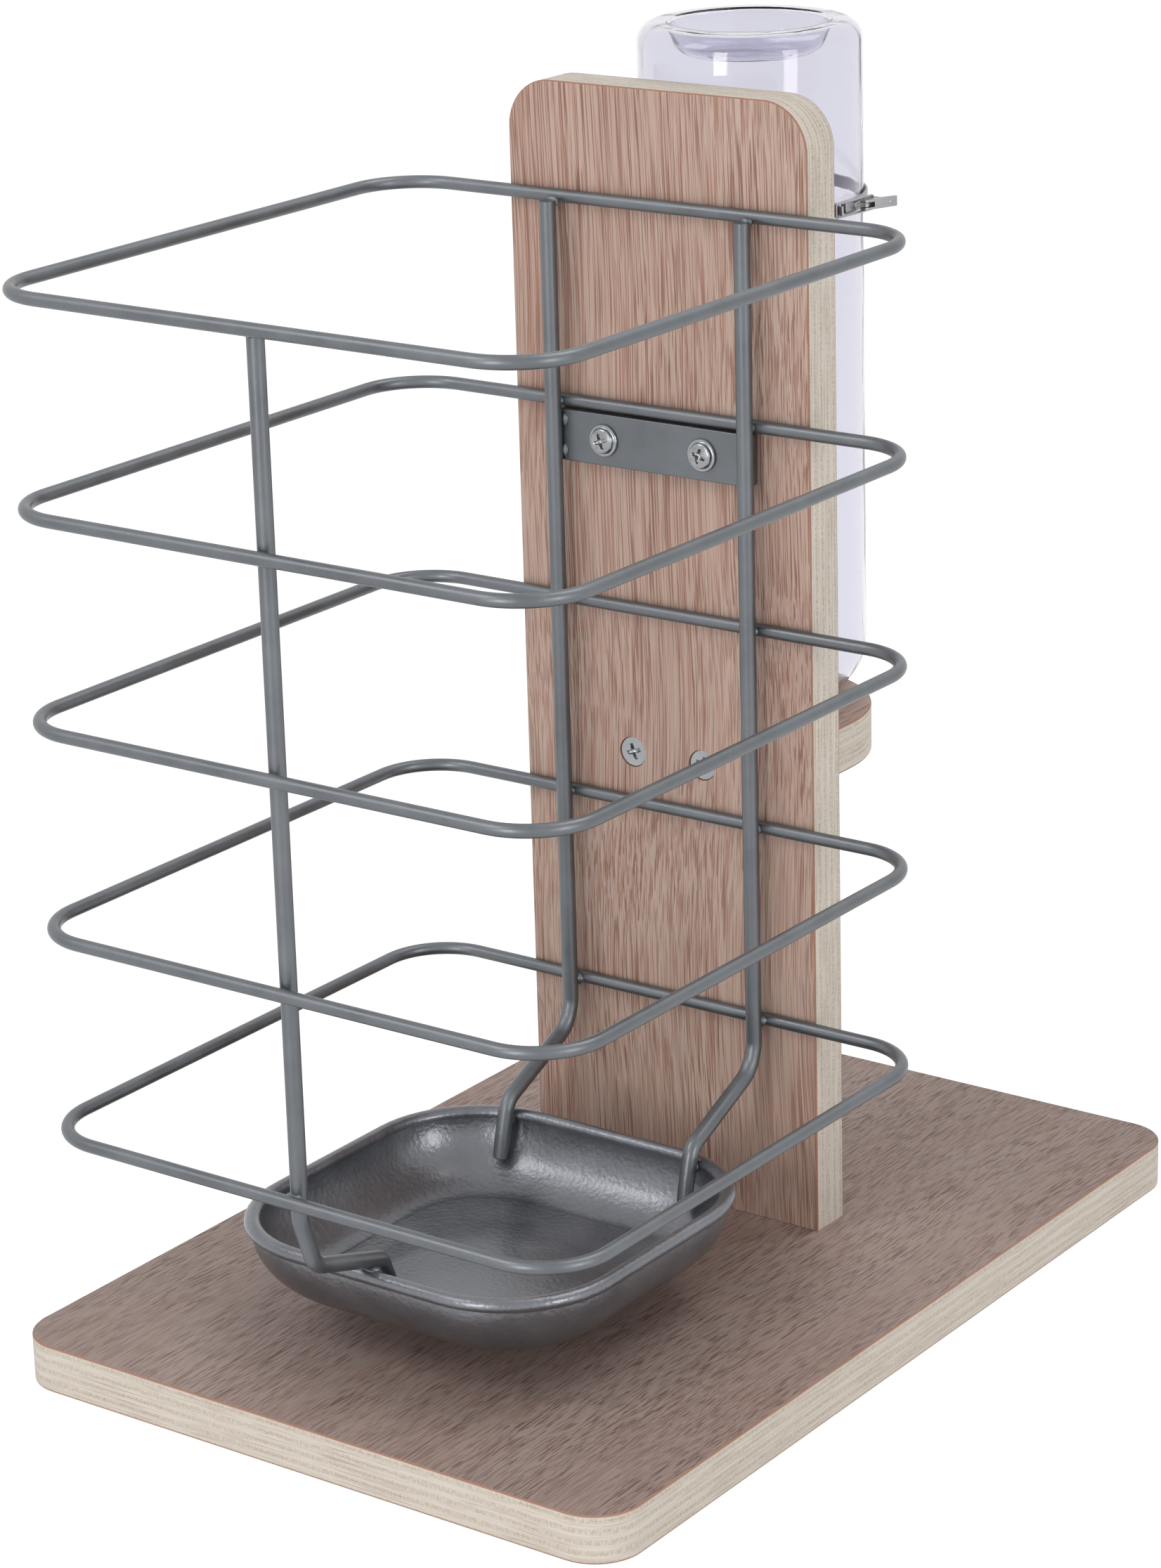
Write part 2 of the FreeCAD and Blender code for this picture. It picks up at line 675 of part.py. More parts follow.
def flat_profile(length):
    """Give the half section of a countersunk screw, its flat top at zero."""
    return [("0", "0"), ("flat_radius", "0"), ("flat_radius", "-flat_rim"), ("shank_radius", "-flat_depth"),
            ("shank_radius", f"flat_tip - {length}"), ("0", f"-{length}")]


def screw_pair(name, spacing, profile, top, recess, y, z, lean):
    """Make two like screws side by side; lean turns their heads from +Z, recess scales their cross."""
    screws = []
    for side, x in both_sides(spacing):
        body = new_body(f"{name}_{side}")
        turn(body, TURN_AXIS_X, lean)
        place(body, x, y, z)
        section = new_sketch(body, "XZ_Plane")
        draw(section, profile)
        revolve(body, section)
        slot = new_sketch(body, "XY_Plane", top)
        draw(slot, cross(f"recess_reach * {recess}", f"recess_width * {recess}"))
        screws.append(finish(body, pocket(body, slot, f"recess_depth * {recess}")))
    pair = doc.addObject("Part::Compound", f"{name}_pair")
    pair.Links = screws
    pair.Label = name
    return pair


def screws():
    """Make the four pairs of screws."""
    pan = pan_profile("pan_radius", "pan_height", "pan_flange", "shank_radius", "plate_screw_length")
    small = pan_profile("clamp_head_radius", "clamp_head_height", "clamp_flange", "clamp_shank_radius",
                        "clamp_screw_length")
    return [
        screw_pair("plate_screws", "plate_screw_spacing", pan, "pan_height", "1",
                   PLATE_FRONT, PLATE_MIDDLE, 90),
        screw_pair("shelf_screws", "shelf_screw_spacing", flat_profile("shelf_screw_length"), "0", "1",
                   "post_front + sink", SHELF_MIDDLE, 90),
        screw_pair("post_screws", "post_screw_spacing", flat_profile("post_screw_length"), "0", "1",
                   "post_front + board_thickness / 2", "sink", 180),
        screw_pair("clamp_screws", "clamp_screw_spacing", small, "clamp_head_height",
                   "clamp_recess_scale",
                   f"{POST_REAR} + bracket_thickness", "clamp_height", -90),
    ]


def bottle():
    """Make the clear bottle, which stands on its shoulder with its neck down through the shelf."""
    body = new_body("bottle", y=BOTTLE_AXIS)
    section = new_sketch(body, "XZ_Plane")
    wall = "bottle_wall"
    crown = "bottle_top - punt_rise"
    draw(section, [
        ("neck_radius", MOUTH), ("neck_radius", SHOULDER_FOOT, "neck_fillet"),
        ("bottle_radius", SHOULDER_FOOT, "shoulder_radius"),
        ("bottle_radius", "bottle_top", "heel_radius"),
        ("punt_radius + standing_width", "bottle_top", "standing_rounding"),
        ("punt_radius", crown, "punt_fillet"), ("0", crown), ("0", f"{crown} - {wall}"),
        (f"punt_radius + {wall}", f"{crown} - {wall}", f"punt_fillet + {wall}"),
        (f"punt_radius + standing_width + {wall} / 2", f"bottle_top - {wall}", "standing_rounding"),
        (f"bottle_radius - {wall}", f"bottle_top - {wall}", f"heel_radius - {wall}"),
        (f"bottle_radius - {wall}", f"{SHOULDER_FOOT} + {wall}", f"shoulder_radius - {wall}"),
        ("neck_radius - neck_wall", f"{SHOULDER_FOOT} + {wall}", "neck_fillet"),
        ("neck_radius - neck_wall", MOUTH)])
    return finish(body, revolve(body, section))


def bottle_cap():
    """Make the screw cap that closes the neck and holds the drinking tube."""
    body = new_body("bottle_cap", y=BOTTLE_AXIS)
    section = new_sketch(body, "XZ_Plane")
    outer = f"{CAP_INNER} + cap_wall"
    rim = f"{CAP_TOP_FACE} + cap_skirt"
    hole = "tube_radius + tube_gap"
    draw(section, [(hole, CAP_BOTTOM), (outer, CAP_BOTTOM, "cap_rounding"), (outer, rim), (CAP_INNER, rim),
                   (CAP_INNER, CAP_TOP_FACE), (hole, CAP_TOP_FACE)])
    return finish(body, revolve(body, section))


def cap_seal():
    """Make the rubber washer between the bottle's mouth and the cap."""
    body = new_body("cap_seal", y=BOTTLE_AXIS)
    section = new_sketch(body, "XZ_Plane")
    hole = "tube_radius + tube_gap"
    outer = f"{CAP_INNER} - tube_gap"
    draw(section, [(hole, CAP_TOP_FACE), (outer, CAP_TOP_FACE), (outer, SEAL_TOP), (hole, SEAL_TOP)])
    return finish(body, revolve(body, section))


def tube_path(top, tip):
    """Give the drinking tube's path from a top height to a length past its bend."""
    return [("0", top), ("0", TUBE_KNEE, "tube_bend"),
            (f"({tip}) * sin(tube_lean)", f"{TUBE_KNEE} - ({tip}) * cos(tube_lean)")]


def drinking_tube():
    """Make the bent tube with a flange inside the cap and a narrowed lip that stops the ball."""
    body = new_body("drinking_tube", y=BOTTLE_AXIS)
    shaft = new_sketch(body, "XY_Plane", TUBE_TOP)
    circle(shaft, "0", "0", "tube_radius")
    outside = new_sketch(body, "YZ_Plane")
    draw(outside, tube_path(TUBE_TOP, "tube_tip"), closed=False)
    pipe(body, shaft, outside)
    collar = new_sketch(body, "XY_Plane", TUBE_TOP)
    circle(collar, "0", "0", "tube_flange")
    pad(body, collar, "tube_flange_height", backwards=True)
    start = f"{TUBE_TOP} + {OVERSHOOT}"
    bores = (("lip_radius", f"tube_tip + {OVERSHOOT}"), ("tube_radius - tube_wall", "tube_tip - lip_length"))
    for radius, tip in bores:
        bore = new_sketch(body, "XY_Plane", start)
        circle(bore, "0", "0", radius)
        inside = new_sketch(body, "YZ_Plane")
        draw(inside, tube_path(start, tip), closed=False)
        feature = pipe(body, bore, inside, "Subtractive")
    return finish(body, feature)


def valve_ball():
    """Make the ball that sits on the tube's lip."""
    along = "(tube_tip - lip_length - ball_gap - sqrt(ball_radius ^ 2 - lip_radius ^ 2))"
    item = doc.addObject("Part::Sphere", "valve_ball_shape")
    item.setExpression("Radius", bound("ball_radius"))
    place(item, "0", f"{BOTTLE_AXIS} + {along} * sin(tube_lean)", f"{TUBE_KNEE} - {along} * cos(tube_lean)")
    item.Label = "valve_ball"
    return item


def clamp_bracket():
    """Make the flat bracket that two screws hold on the post's rear face."""
    body = new_body("clamp_bracket", y=POST_REAR, z="clamp_height")
    outline = new_sketch(body, "XZ_Plane")
    draw(outline, rounded("bracket_width", "bracket_height", "bracket_height / 4"))
    finish(body, pad(body, outline, "bracket_thickness", backwards=True))
    tools = [cylinder(f"bracket_hole_{side}", "clamp_shank_radius + pilot_gap",
                      f"bracket_thickness + 2 * {OVERSHOOT}", x, f"{POST_REAR} - {OVERSHOOT}",
                      "clamp_height", -90)
             for side, x in both_sides("clamp_screw_spacing")]
    return cut("clamp_bracket", body, tools)


def strip(body, inner, outer, height, angle):
    """Bend a strip round the body's upright axis, centred on its own X axis."""
    section = new_sketch(body, "XZ_Plane")
    half = f"({height}) / 2"
    draw(section, [(inner, f"-{half}"), (outer, f"-{half}"), (outer, half), (inner, half)])
    return revolve(body, section, angle, symmetric=True)


def on_clamp(name, degrees, x="0", y="0"):
    """Start a body on the clamp's axis, turned about it."""
    body = new_body(name)
    turn(body, VECTOR(0, 0, 1), value(degrees))
    place(body, x, f"{BOTTLE_AXIS} + {y}", "clamp_height")
    return body


def clamp_band():
    """Make the spring band round the bottle, open where the latch closes it."""
    body = on_clamp("clamp_band", "band_opening_angle + 180")
    return finish(body, strip(body, BAND_INNER, BAND_OUTER, "band_height", "360 - band_opening"))


def latch_base():
    """Make the latch's foot on one end of the band, with the lug that carries the pivot."""
    body = on_clamp("latch_base", "latch_angle")
    strip(body, f"{BAND_OUTER} + weld_gap", SHEET_OUTER, "band_height", "latch_span")
    lug = new_sketch(body, "XY_Plane")
    root = f"{SHEET_OUTER} - latch_sheet / 2"
    tip = f"{PIVOT_REACH} + pin_radius + lug_wall"
    draw(lug, [(root, "-lug_root"), (tip, "-lug_width", "lug_rounding"), (tip, "lug_width", "lug_rounding"),
               (root, "lug_root")])
    circle(lug, PIVOT_REACH, "0", "pin_radius + pin_gap / 2")
    return finish(body, pad(body, lug, "lug_thickness", symmetric=True))


def latch_pin():
    """Make the pin the lever turns on."""
    item = cylinder("latch_pin_shape", "pin_radius", "lever_height", PIVOT_X, f"{BOTTLE_AXIS} + {PIVOT_Y}",
                    "clamp_height - lever_height / 2")
    item.Label = "latch_pin"
    return item


def latch_lever():
    """Make the lever, forked round the lug, with a hole for the loop's bar."""
    body = on_clamp("latch_lever", "lever_direction", PIVOT_X, PIVOT_Y)
    outline = new_sketch(body, "XY_Plane")
    eye = "(pin_radius + eye_wall)"
    ear = "link_depth + loop_wire + ear_wall"
    tip = f"-{eye} - handle_drop"
    draw(outline, [(f"-{eye}", f"-{eye}", "eye_rounding"), ("lever_length", tip, "handle_rounding"),
                   ("lever_length", f"{tip} + handle_thickness", "handle_rounding"),
                   ("link_offset + handle_start", f"handle_thickness - {eye}", "handle_rounding"),
                   ("link_offset + ear_half", ear, "ear_rounding"),
                   ("link_offset - ear_half", ear, "ear_rounding"),
                   (f"{eye} + lug_wall", eye, "handle_rounding"), (f"-{eye}", eye, "eye_rounding")])
    circle(outline, "0", "0", "pin_radius + pin_gap")
    circle(outline, "link_offset", "link_depth", "loop_wire + pin_gap")
    pad(body, outline, "lever_height", symmetric=True)
    fork = new_sketch(body, "XZ_Plane")
    half = "(lug_thickness / 2 + fork_gap)"
    draw(fork, [("-lever_length", f"-{half}"), ("fork_end", f"-{half}"), ("fork_end", half),
                ("-lever_length", half)])
    feature = pocket(body, fork, "2 * lever_length")
    feature.SideType = "Symmetric"
    return finish(body, feature)


def latch_loop():
    """Make the wire loop that links the lever to the strike."""
    body = new_body("latch_loop")
    turn(body, VECTOR(0, 0, 1), 90 - value(LOOP_TURN))
    place(body, HOOK_X, f"{BOTTLE_AXIS} + {HOOK_Y}", "clamp_height")
    spine = new_sketch(body, "XZ_Plane")
    far = LOOP_LENGTH
    half = LOOP_HALF
    draw(spine, [(f"({far}) / 2", f"-{half}"), (far, f"-{half}", LOOP_CORNER), (far, half, LOOP_CORNER),
                 ("0", half, LOOP_CORNER), ("0", f"-{half}", LOOP_CORNER)])
    section = new_sketch(body, "YZ_Plane", f"({far}) / 2")
    circle(section, "0", f"-{half}", "loop_wire")
    return finish(body, pipe(body, section, spine))


def latch_strike():
    """Make the strike on the band's other end, whose tab the loop pulls against."""
    body = on_clamp("latch_strike", "strike_angle")
    strip(body, f"{BAND_OUTER} + weld_gap", SHEET_OUTER, "band_height", "strike_span")
    tab = new_sketch(body, "XY_Plane")
    root = f"{SHEET_OUTER} - latch_sheet / 2"
    top = f"{SHEET_OUTER} + strike_tab - latch_sheet"
    far = "tab_offset + tab_thickness"
    draw(tab, [(root, "tab_offset"), (top, "tab_offset"), (top, far), (root, far)])
    return finish(body, pad(body, tab, "strike_height", symmetric=True))


def check(parts):
    """Stop if any object failed, or any finished part is empty, broken or nameless."""
    for item in doc.Objects:
        if {"Invalid", "Error"} & set(item.State):
            raise RuntimeError(f"{item.Label} failed: {item.State}")
    for part in parts:
        shape = part.Shape
        if shape.isNull() or not shape.isValid() or not shape.Solids:
            raise RuntimeError(f"{part.Label} has no sound solid")


def export(parts):
    """Write each part's shape to its own file."""
    os.makedirs("parts", exist_ok=True)
    for part in parts:
        part.Shape.exportStep(os.path.join("parts", f"{part.Label}.step"))
        solids = part.Shape.Solids
        print(f"{part.Label}: {len(solids)} solid(s), {sum(solid.Volume for solid in solids):.1f} mm3")


def main():
    """Build every part, check it and write it."""
    fill_sheet()
    parts = [base_board(), post(), bottle_shelf(), mounting_plate(), tray(), front_upright()]
    parts += [ring(number) for number in range(1, RING_COUNT + 1)]
    parts += back_uprights()
    parts += screws()
    parts += [bottle(), bottle_cap(), cap_seal(), drinking_tube(), valve_ball()]
    parts += [clamp_bracket(), clamp_band(), latch_base(), latch_pin(), latch_lever(), latch_loop(),
              latch_strike()]
    doc.recompute()
    check(parts)
    export(parts)


main()
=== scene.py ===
"""Looks of a feeding stand for small pets: plywood stand, wire basket with tray, clamped bottle.

Lengths are in metres, in the stand's own frame: +Z up, the basket towards -Y, the bottle
towards +Y, and the origin under the middle of the base board.
"""

import json
import logging
import math
from dataclasses import dataclass, field, replace
from enum import Enum

import bmesh
import bpy
import numpy as np
from mathutils import Matrix, Vector
from numpy.typing import NDArray

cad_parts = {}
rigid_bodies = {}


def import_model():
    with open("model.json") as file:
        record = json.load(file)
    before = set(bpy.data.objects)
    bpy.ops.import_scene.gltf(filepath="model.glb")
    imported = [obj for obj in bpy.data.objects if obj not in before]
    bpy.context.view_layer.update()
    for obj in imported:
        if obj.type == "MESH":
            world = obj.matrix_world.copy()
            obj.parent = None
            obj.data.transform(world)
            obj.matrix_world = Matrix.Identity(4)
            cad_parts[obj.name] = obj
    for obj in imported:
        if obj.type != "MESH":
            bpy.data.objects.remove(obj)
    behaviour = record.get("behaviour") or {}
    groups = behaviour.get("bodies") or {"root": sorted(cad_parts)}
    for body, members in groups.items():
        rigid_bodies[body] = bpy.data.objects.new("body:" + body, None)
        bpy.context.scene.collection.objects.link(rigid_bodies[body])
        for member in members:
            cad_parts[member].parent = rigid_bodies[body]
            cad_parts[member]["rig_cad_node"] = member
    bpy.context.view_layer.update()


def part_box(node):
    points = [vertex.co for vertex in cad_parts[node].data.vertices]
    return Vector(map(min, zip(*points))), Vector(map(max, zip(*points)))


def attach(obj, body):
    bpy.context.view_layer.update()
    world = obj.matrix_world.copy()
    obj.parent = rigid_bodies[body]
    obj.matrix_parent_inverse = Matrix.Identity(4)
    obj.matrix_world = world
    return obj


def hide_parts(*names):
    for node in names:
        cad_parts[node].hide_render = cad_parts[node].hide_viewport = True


LOG = logging.getLogger("feeding_stand")
Array = NDArray[np.float64]
MM = 0.001
UP = np.array([0.0, 0.0, 1.0])
RIGHT = np.array([1.0, 0.0, 0.0])
SHARP_DEGREES = 35.0
FACE_ON = 0.9
Triple = tuple[float, float, float]
Socket = bpy.types.NodeSocket
Material = bpy.types.Material
Piece = bpy.types.Object


class Body(Enum):
    """The moving bodies that a piece can ride on."""

    STAND = "stand"
    BOTTLE = "bottle_unit"
    CAP = "cap_unit"
    BALL = "ball"
    LEVER = "lever"
    LOOP = "loop"


class Slot(Enum):
    """The finishes named by the part's record."""

    PLYWOOD = "plywood"
    WIRE = "plated_wire"
    TRAY = "pressed_tray"
    SCREW = "screw_zinc"
    CLAMP = "clamp_nickel"
    BOTTLE = "bottle_clear"
    CAP = "cap_plastic"
    SEAL = "seal_rubber"
    TUBE = "tube_steel"
    BALL = "ball_steel"


class Grain(Enum):
    """The board's axis that its face grain runs along."""

    ALONG_Y = 1
    ALONG_Z = 2


# ---------------------------------------------------------------- surfaces


def middle(node: str) -> Vector:
    """Give the middle of a plain solid's box."""
    low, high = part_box(node)
    return (low + high) / 2


def extent(node: str) -> Vector:
    """Give the size of a plain solid's box."""
    low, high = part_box(node)
    return high - low


def aimed(at: Vector, towards: Vector) -> Matrix:
    """Give the matrix that takes the origin to a point and +Z to a direction."""
    return Matrix.Translation(at) @ towards.to_track_quat("Z", "Y").to_matrix().to_4x4()


def turns(count: int) -> Array:
    """Share a whole turn into equal angles."""
    return np.arange(count) * 2 * np.pi / count


def rounded_outline(half_x: float, half_y: float, radius: float, steps: int = 10, sides: int = 1) -> Array:
    """Work out a rounded rectangle, anticlockwise from the lower right corner.

    Each corner is a quarter circle, and each straight side is cut into equal runs.

    Args:
        half_x: Half the width.
        half_y: Half the depth.
        radius: Radius of the corners.
        steps: Steps in each quarter circle.
        sides: Runs on each straight side.

    Returns:
        The outline's points, one row each.
    """
    angles = np.linspace(0, np.pi / 2, steps + 1)
    arc = radius * np.stack([np.cos(angles), np.sin(angles)], axis=1)
    middle = np.array([half_x - radius, half_y - radius])
    quarters = []
    for turn, flip in ((-1, (1, -1)), (0, (1, 1)), (1, (-1, 1)), (2, (-1, -1))):
        spin = np.array([[math.cos(turn * np.pi / 2), -math.sin(turn * np.pi / 2)],
                         [math.sin(turn * np.pi / 2), math.cos(turn * np.pi / 2)]])
        quarters.append(arc @ spin.T + middle * flip)
    rows = []
    for index, quarter in enumerate(quarters):
        rows.append(quarter)
        shares = np.linspace(0, 1, sides + 1)[1:-1, None]
        rows.append(quarter[-1] * (1 - shares) + quarters[(index + 1) % 4][0] * shares)
    return np.concatenate(rows)


def bent_path(corners: Array, radii: list[float], steps: int = 12) -> Array:
    """Join straight runs with arcs that touch both runs.

    Args:
        corners: The corner points of an open path, one row each.
        radii: Bend radius at each inner corner.
        steps: Steps in each arc.

    Returns:
        The points of the path.
    """
    rows = [corners[:1]]
    for index, radius in enumerate(radii, start=1):
        corner = corners[index]
        back = (corners[index - 1] - corner) / np.linalg.norm(corners[index - 1] - corner)
        ahead = (corners[index + 1] - corner) / np.linalg.norm(corners[index + 1] - corner)
        half = math.acos(float(np.clip(back @ ahead, -1, 1))) / 2
        inward = (back + ahead) / np.linalg.norm(back + ahead)
        middle = corner + inward * radius / math.sin(half)
        sweep = np.linspace(-(np.pi / 2 - half), np.pi / 2 - half, steps + 1)[:, None]
        across = (ahead - back) / np.linalg.norm(ahead - back)
        rows.append(middle + radius * (np.sin(sweep) * across - np.cos(sweep) * inward))
    rows.append(corners[-1:])
    return np.concatenate(rows)


def refine(path: Array, pitch: float) -> Array:
    """Cut an open path's long runs so that no run is longer than a pitch."""
    lengths = np.linalg.norm(np.diff(path, axis=0), axis=1)
    along = np.concatenate([[0], np.cumsum(lengths)])
    extra = np.arange(pitch, along[-1], pitch)
    stations = np.unique(np.round(np.concatenate([along, extra]), 7))
    return np.stack([np.interp(stations, along, path[:, axis]) for axis in range(3)], axis=1)


def sweep(path: Array, section: Array, upright: Array, closed: bool = False) -> Array:
    """Carry a section along a path that lies in a plane.

    Point (i, j) is path i, plus the section's first number along the path's sideways
    direction (tangent x upright), plus its second number along upright.

    Args:
        path: Points of the path, one row each.
        section: Points of the section, either one outline or one outline per path point.
        upright: The unit normal of the path's plane.
        closed: Whether the path joins up.

    Returns:
        A grid of points, path by section.
    """
    ahead = np.roll(path, -1, axis=0) - path
    behind = path - np.roll(path, 1, axis=0)
    if not closed:
        ahead[-1] = behind[-1]
        behind[0] = ahead[0]
    tangent = ahead / np.linalg.norm(ahead, axis=1)[:, None] + behind / np.linalg.norm(behind, axis=1)[:, None]
    tangent /= np.linalg.norm(tangent, axis=1)[:, None]
    sideways = np.cross(tangent, upright)
    sections = np.broadcast_to(section, (len(path), *section.shape[-2:]))
    return path[:, None] + sections[:, :, :1] * sideways[:, None] + sections[:, :, 1:] * upright


def refine_profile(rows: Array, pitch: float) -> Array:
    """Cut a flat profile's long runs as refine does a path's."""
    return refine(np.column_stack([rows, np.zeros(len(rows))]), pitch)[:, :2]


def left_to_end(path: Array) -> Array:
    """Measure how much of a path is left at each of its points."""
    runs = np.linalg.norm(np.diff(path[::-1], axis=0), axis=1)
    return np.concatenate([[0], np.cumsum(runs)])[::-1]


def arched(low: tuple[float, float], high: tuple[float, float], radius: float, steps: int) -> Array:
    """Work out a box's outline with its two upper corners rounded, anticlockwise from the lower left."""
    angles = np.linspace(0, np.pi / 2, steps)
    right = np.stack([high[0] - radius * (1 - np.cos(angles)), high[1] - radius * (1 - np.sin(angles))], axis=1)
    return np.concatenate([[low, (high[0], low[1])], right, right[::-1] * [-1, 1]])


def disc_section(radius: float, count: int) -> Array:
    """Work out a circle's points, anticlockwise."""
    angles = turns(count)
    return radius * np.stack([np.cos(angles), np.sin(angles)], axis=1)


def lathe(profile: Array, count: int = 72) -> Array:
    """Turn a profile of (radius, height) rows about the Z axis: (r cos a, r sin a, h)."""
    angles = turns(count)
    ring = np.stack([np.cos(angles), np.sin(angles), np.zeros(count)], axis=1)
    return profile[:, None, :1] * ring + profile[:, None, 1:] * UP


def ball_grid(count: int, rows: int = 13) -> Array:
    """Work out a unit ball's points, in circles from top to bottom."""
    tilt = np.linspace(0, np.pi, rows)
    return lathe(np.stack([np.sin(tilt), np.cos(tilt)], axis=1), count)


def smooth_step(values: Array, low: float, high: float) -> Array:
    """Rise smoothly from 0 at low to 1 at high, as 3t^2 - 2t^3."""
    share = np.clip((values - low) / (high - low), 0, 1)
    return share * share * (3 - 2 * share)


@dataclass
class Patch:
    """A grid of points that becomes quads, optionally joined up either way or capped."""

    points: Array
    wrap_rows: bool = False
    wrap_columns: bool = True
    cap_ends: bool = False

    def faces(self, offset: int) -> list[list[int]]:
        """Number the grid's quads, and its two end outlines where they are capped.

        Args:
            offset: Number of the grid's first vertex.

        Returns:
            Lists of vertex numbers.
        """
        rows, columns = self.points.shape[:2]
        number = np.arange(rows * columns).reshape(rows, columns) + offset
        below = number if self.wrap_rows else number[:-1]
        above = np.roll(number, -1, axis=0) if self.wrap_rows else number[1:]
        if not self.wrap_columns:
            quads = [below[:, :-1], below[:, 1:], above[:, 1:], above[:, :-1]]
        else:
            quads = [below, np.roll(below, -1, axis=1), np.roll(above, -1, axis=1), above]
        faces = np.stack(quads, axis=-1).reshape(-1, 4).tolist()
        if self.cap_ends:
            faces += [number[0, ::-1].tolist(), number[-1].tolist()]
        return faces


def slab(outline: Array, thickness: float, soften: float) -> Patch:
    """Carry an outline up through a thickness, with its two edges rounded off.

    Row i of the grid is the outline moved inward by the profile's inset, at the profile's
    height; the profile is two quarter circles, with a tight row just inside each flat face.

    Args:
        outline: Points in the flat, anticlockwise.
        thickness: Height of the slab, which stands on zero.
        soften: Radius of its edges.

    Returns:
        A capped grid.
    """
    angles = np.linspace(0, np.pi / 2, 6)
    lower = np.stack([soften * (1 - np.sin(angles)), soften * (1 - np.cos(angles))], axis=1)
    upper = np.stack([lower[::-1, 0], thickness - lower[::-1, 1]], axis=1)
    rows = np.concatenate([[[1.6 * soften, 0.0]], lower, upper, [[1.6 * soften, thickness]]])
    ahead = np.roll(outline, -1, axis=0) - np.roll(outline, 1, axis=0)
    outward = np.stack([ahead[:, 1], -ahead[:, 0]], axis=1)
    outward /= np.linalg.norm(outward, axis=1)[:, None]
    flat = outline[None] - rows[:, :1, None] * outward[None]
    height = np.broadcast_to(rows[:, 1:, None], (len(rows), len(outline), 1))
    return Patch(np.concatenate([flat, height], axis=2), cap_ends=True)


def shade(mesh: bpy.types.Mesh, degrees: float = SHARP_DEGREES) -> None:
    """Shade a mesh smooth, but for edges past an angle."""
    mesh.shade_smooth()
    mesh.set_sharp_from_angle(angle=math.radians(degrees))


def make_piece(name: str, patches: list[Patch], sharp: float = SHARP_DEGREES) -> Piece:
    """Make one closed mesh from grids: doubles merged, faces outward, edges sharp past an angle.

    Args:
        name: The piece's name.
        patches: The grids.
        sharp: Angle in degrees past which an edge is shaded sharp.

    Returns:
        The new object, at the origin.
    """
    offsets = np.cumsum([0] + [patch.points.shape[0] * patch.points.shape[1] for patch in patches])
    corners = np.concatenate([patch.points.reshape(-1, 3) for patch in patches])
    faces = [face for patch, offset in zip(patches, offsets) for face in patch.faces(int(offset))]
    mesh = bpy.data.meshes.new(name)
    mesh.from_pydata(corners.tolist(), [], faces)
    work = bmesh.new()
    work.from_mesh(mesh)
    bmesh.ops.remove_doubles(work, verts=work.verts, dist=2e-7)
    bmesh.ops.dissolve_degenerate(work, edges=work.edges, dist=1e-8)
    bmesh.ops.recalc_face_normals(work, faces=work.faces)
    work.to_mesh(mesh)
    work.free()
    shade(mesh, sharp)
    piece = bpy.data.objects.new(name, mesh)
    bpy.context.scene.collection.objects.link(piece)
    return piece


def dress(piece: Piece, body: Body, slot: Slot, finish: Material,
          *nodes: str) -> Piece:
    """Give a piece its finish, its body and the plain solids it stands for.

    Args:
        piece: The piece.
        body: The body it moves with.
        slot: The record's finish; not used.
        finish: Its material, added after any it has.
        nodes: Plain solids that it replaces.

    Returns:
        The piece.
    """
    if not piece.data.materials:
        piece.data.materials.append(finish)
    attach(piece, body.value)
    if nodes:
        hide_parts(*nodes)
    LOG.info("%s: %d faces on %s", piece.name, len(piece.data.polygons), body.value)
    return piece


def carve(piece: Piece, cutters: list[Piece]) -> None:
    """Cut closed meshes out of a piece, apply the cut and remove the cutters."""
    for cutter in cutters:
        modifier = piece.modifiers.new("carve", "BOOLEAN")
        modifier.operation = "DIFFERENCE"
        modifier.object = cutter
        modifier.solver = "EXACT"
    evaluated = piece.evaluated_get(bpy.context.evaluated_depsgraph_get())
    carved = bpy.data.meshes.new_from_object(evaluated)
    piece.modifiers.clear()
    piece.data = carved
    shade(carved)
    for cutter in cutters:
        bpy.data.objects.remove(cutter)


# ---------------------------------------------------------------- finishes


class Wiring:
    """A short way to wire a node tree."""

    def __init__(self, tree: bpy.types.NodeTree) -> None:
        """Keep the tree."""
        self.tree = tree

    def join(self, socket: Socket, source: object) -> None:
        """Feed a socket from another socket, or set it to a plain value."""
        if isinstance(source, Socket):
            self.tree.links.new(source, socket)
        else:
            socket.default_value = source

    def add(self, kind: str, sources: dict[int | str, object], **settings: object) -> bpy.types.Node:
        """Add a node, set its plain properties and feed its sockets.

        Args:
            kind: The node's type, without its usual first word.
            sources: What feeds each socket, by the socket's name or number.
            settings: The node's plain properties.

        Returns:
            The node.
        """
        node = self.tree.nodes.new(f"ShaderNode{kind}")
        for key, setting in settings.items():
            setattr(node, key, setting)
        for key, source in sources.items():
            self.join(node.inputs[key], source)
        return node

    def sums(self, operation: str, *terms: object) -> Socket:
        """Give the answer of one sum."""
        return self.add("Math", dict(enumerate(terms)), operation=operation).outputs["Value"]

    def seen_directly(self) -> Socket:
        """Give 1 for camera, glossy and transmission rays, and 0 for the rest."""
        path = self.add("LightPath", {}).outputs
        glossy = self.sums("MAXIMUM", path["Is Camera Ray"], path["Is Glossy Ray"])
        return self.sums("MAXIMUM", glossy, path["Is Transmission Ray"])


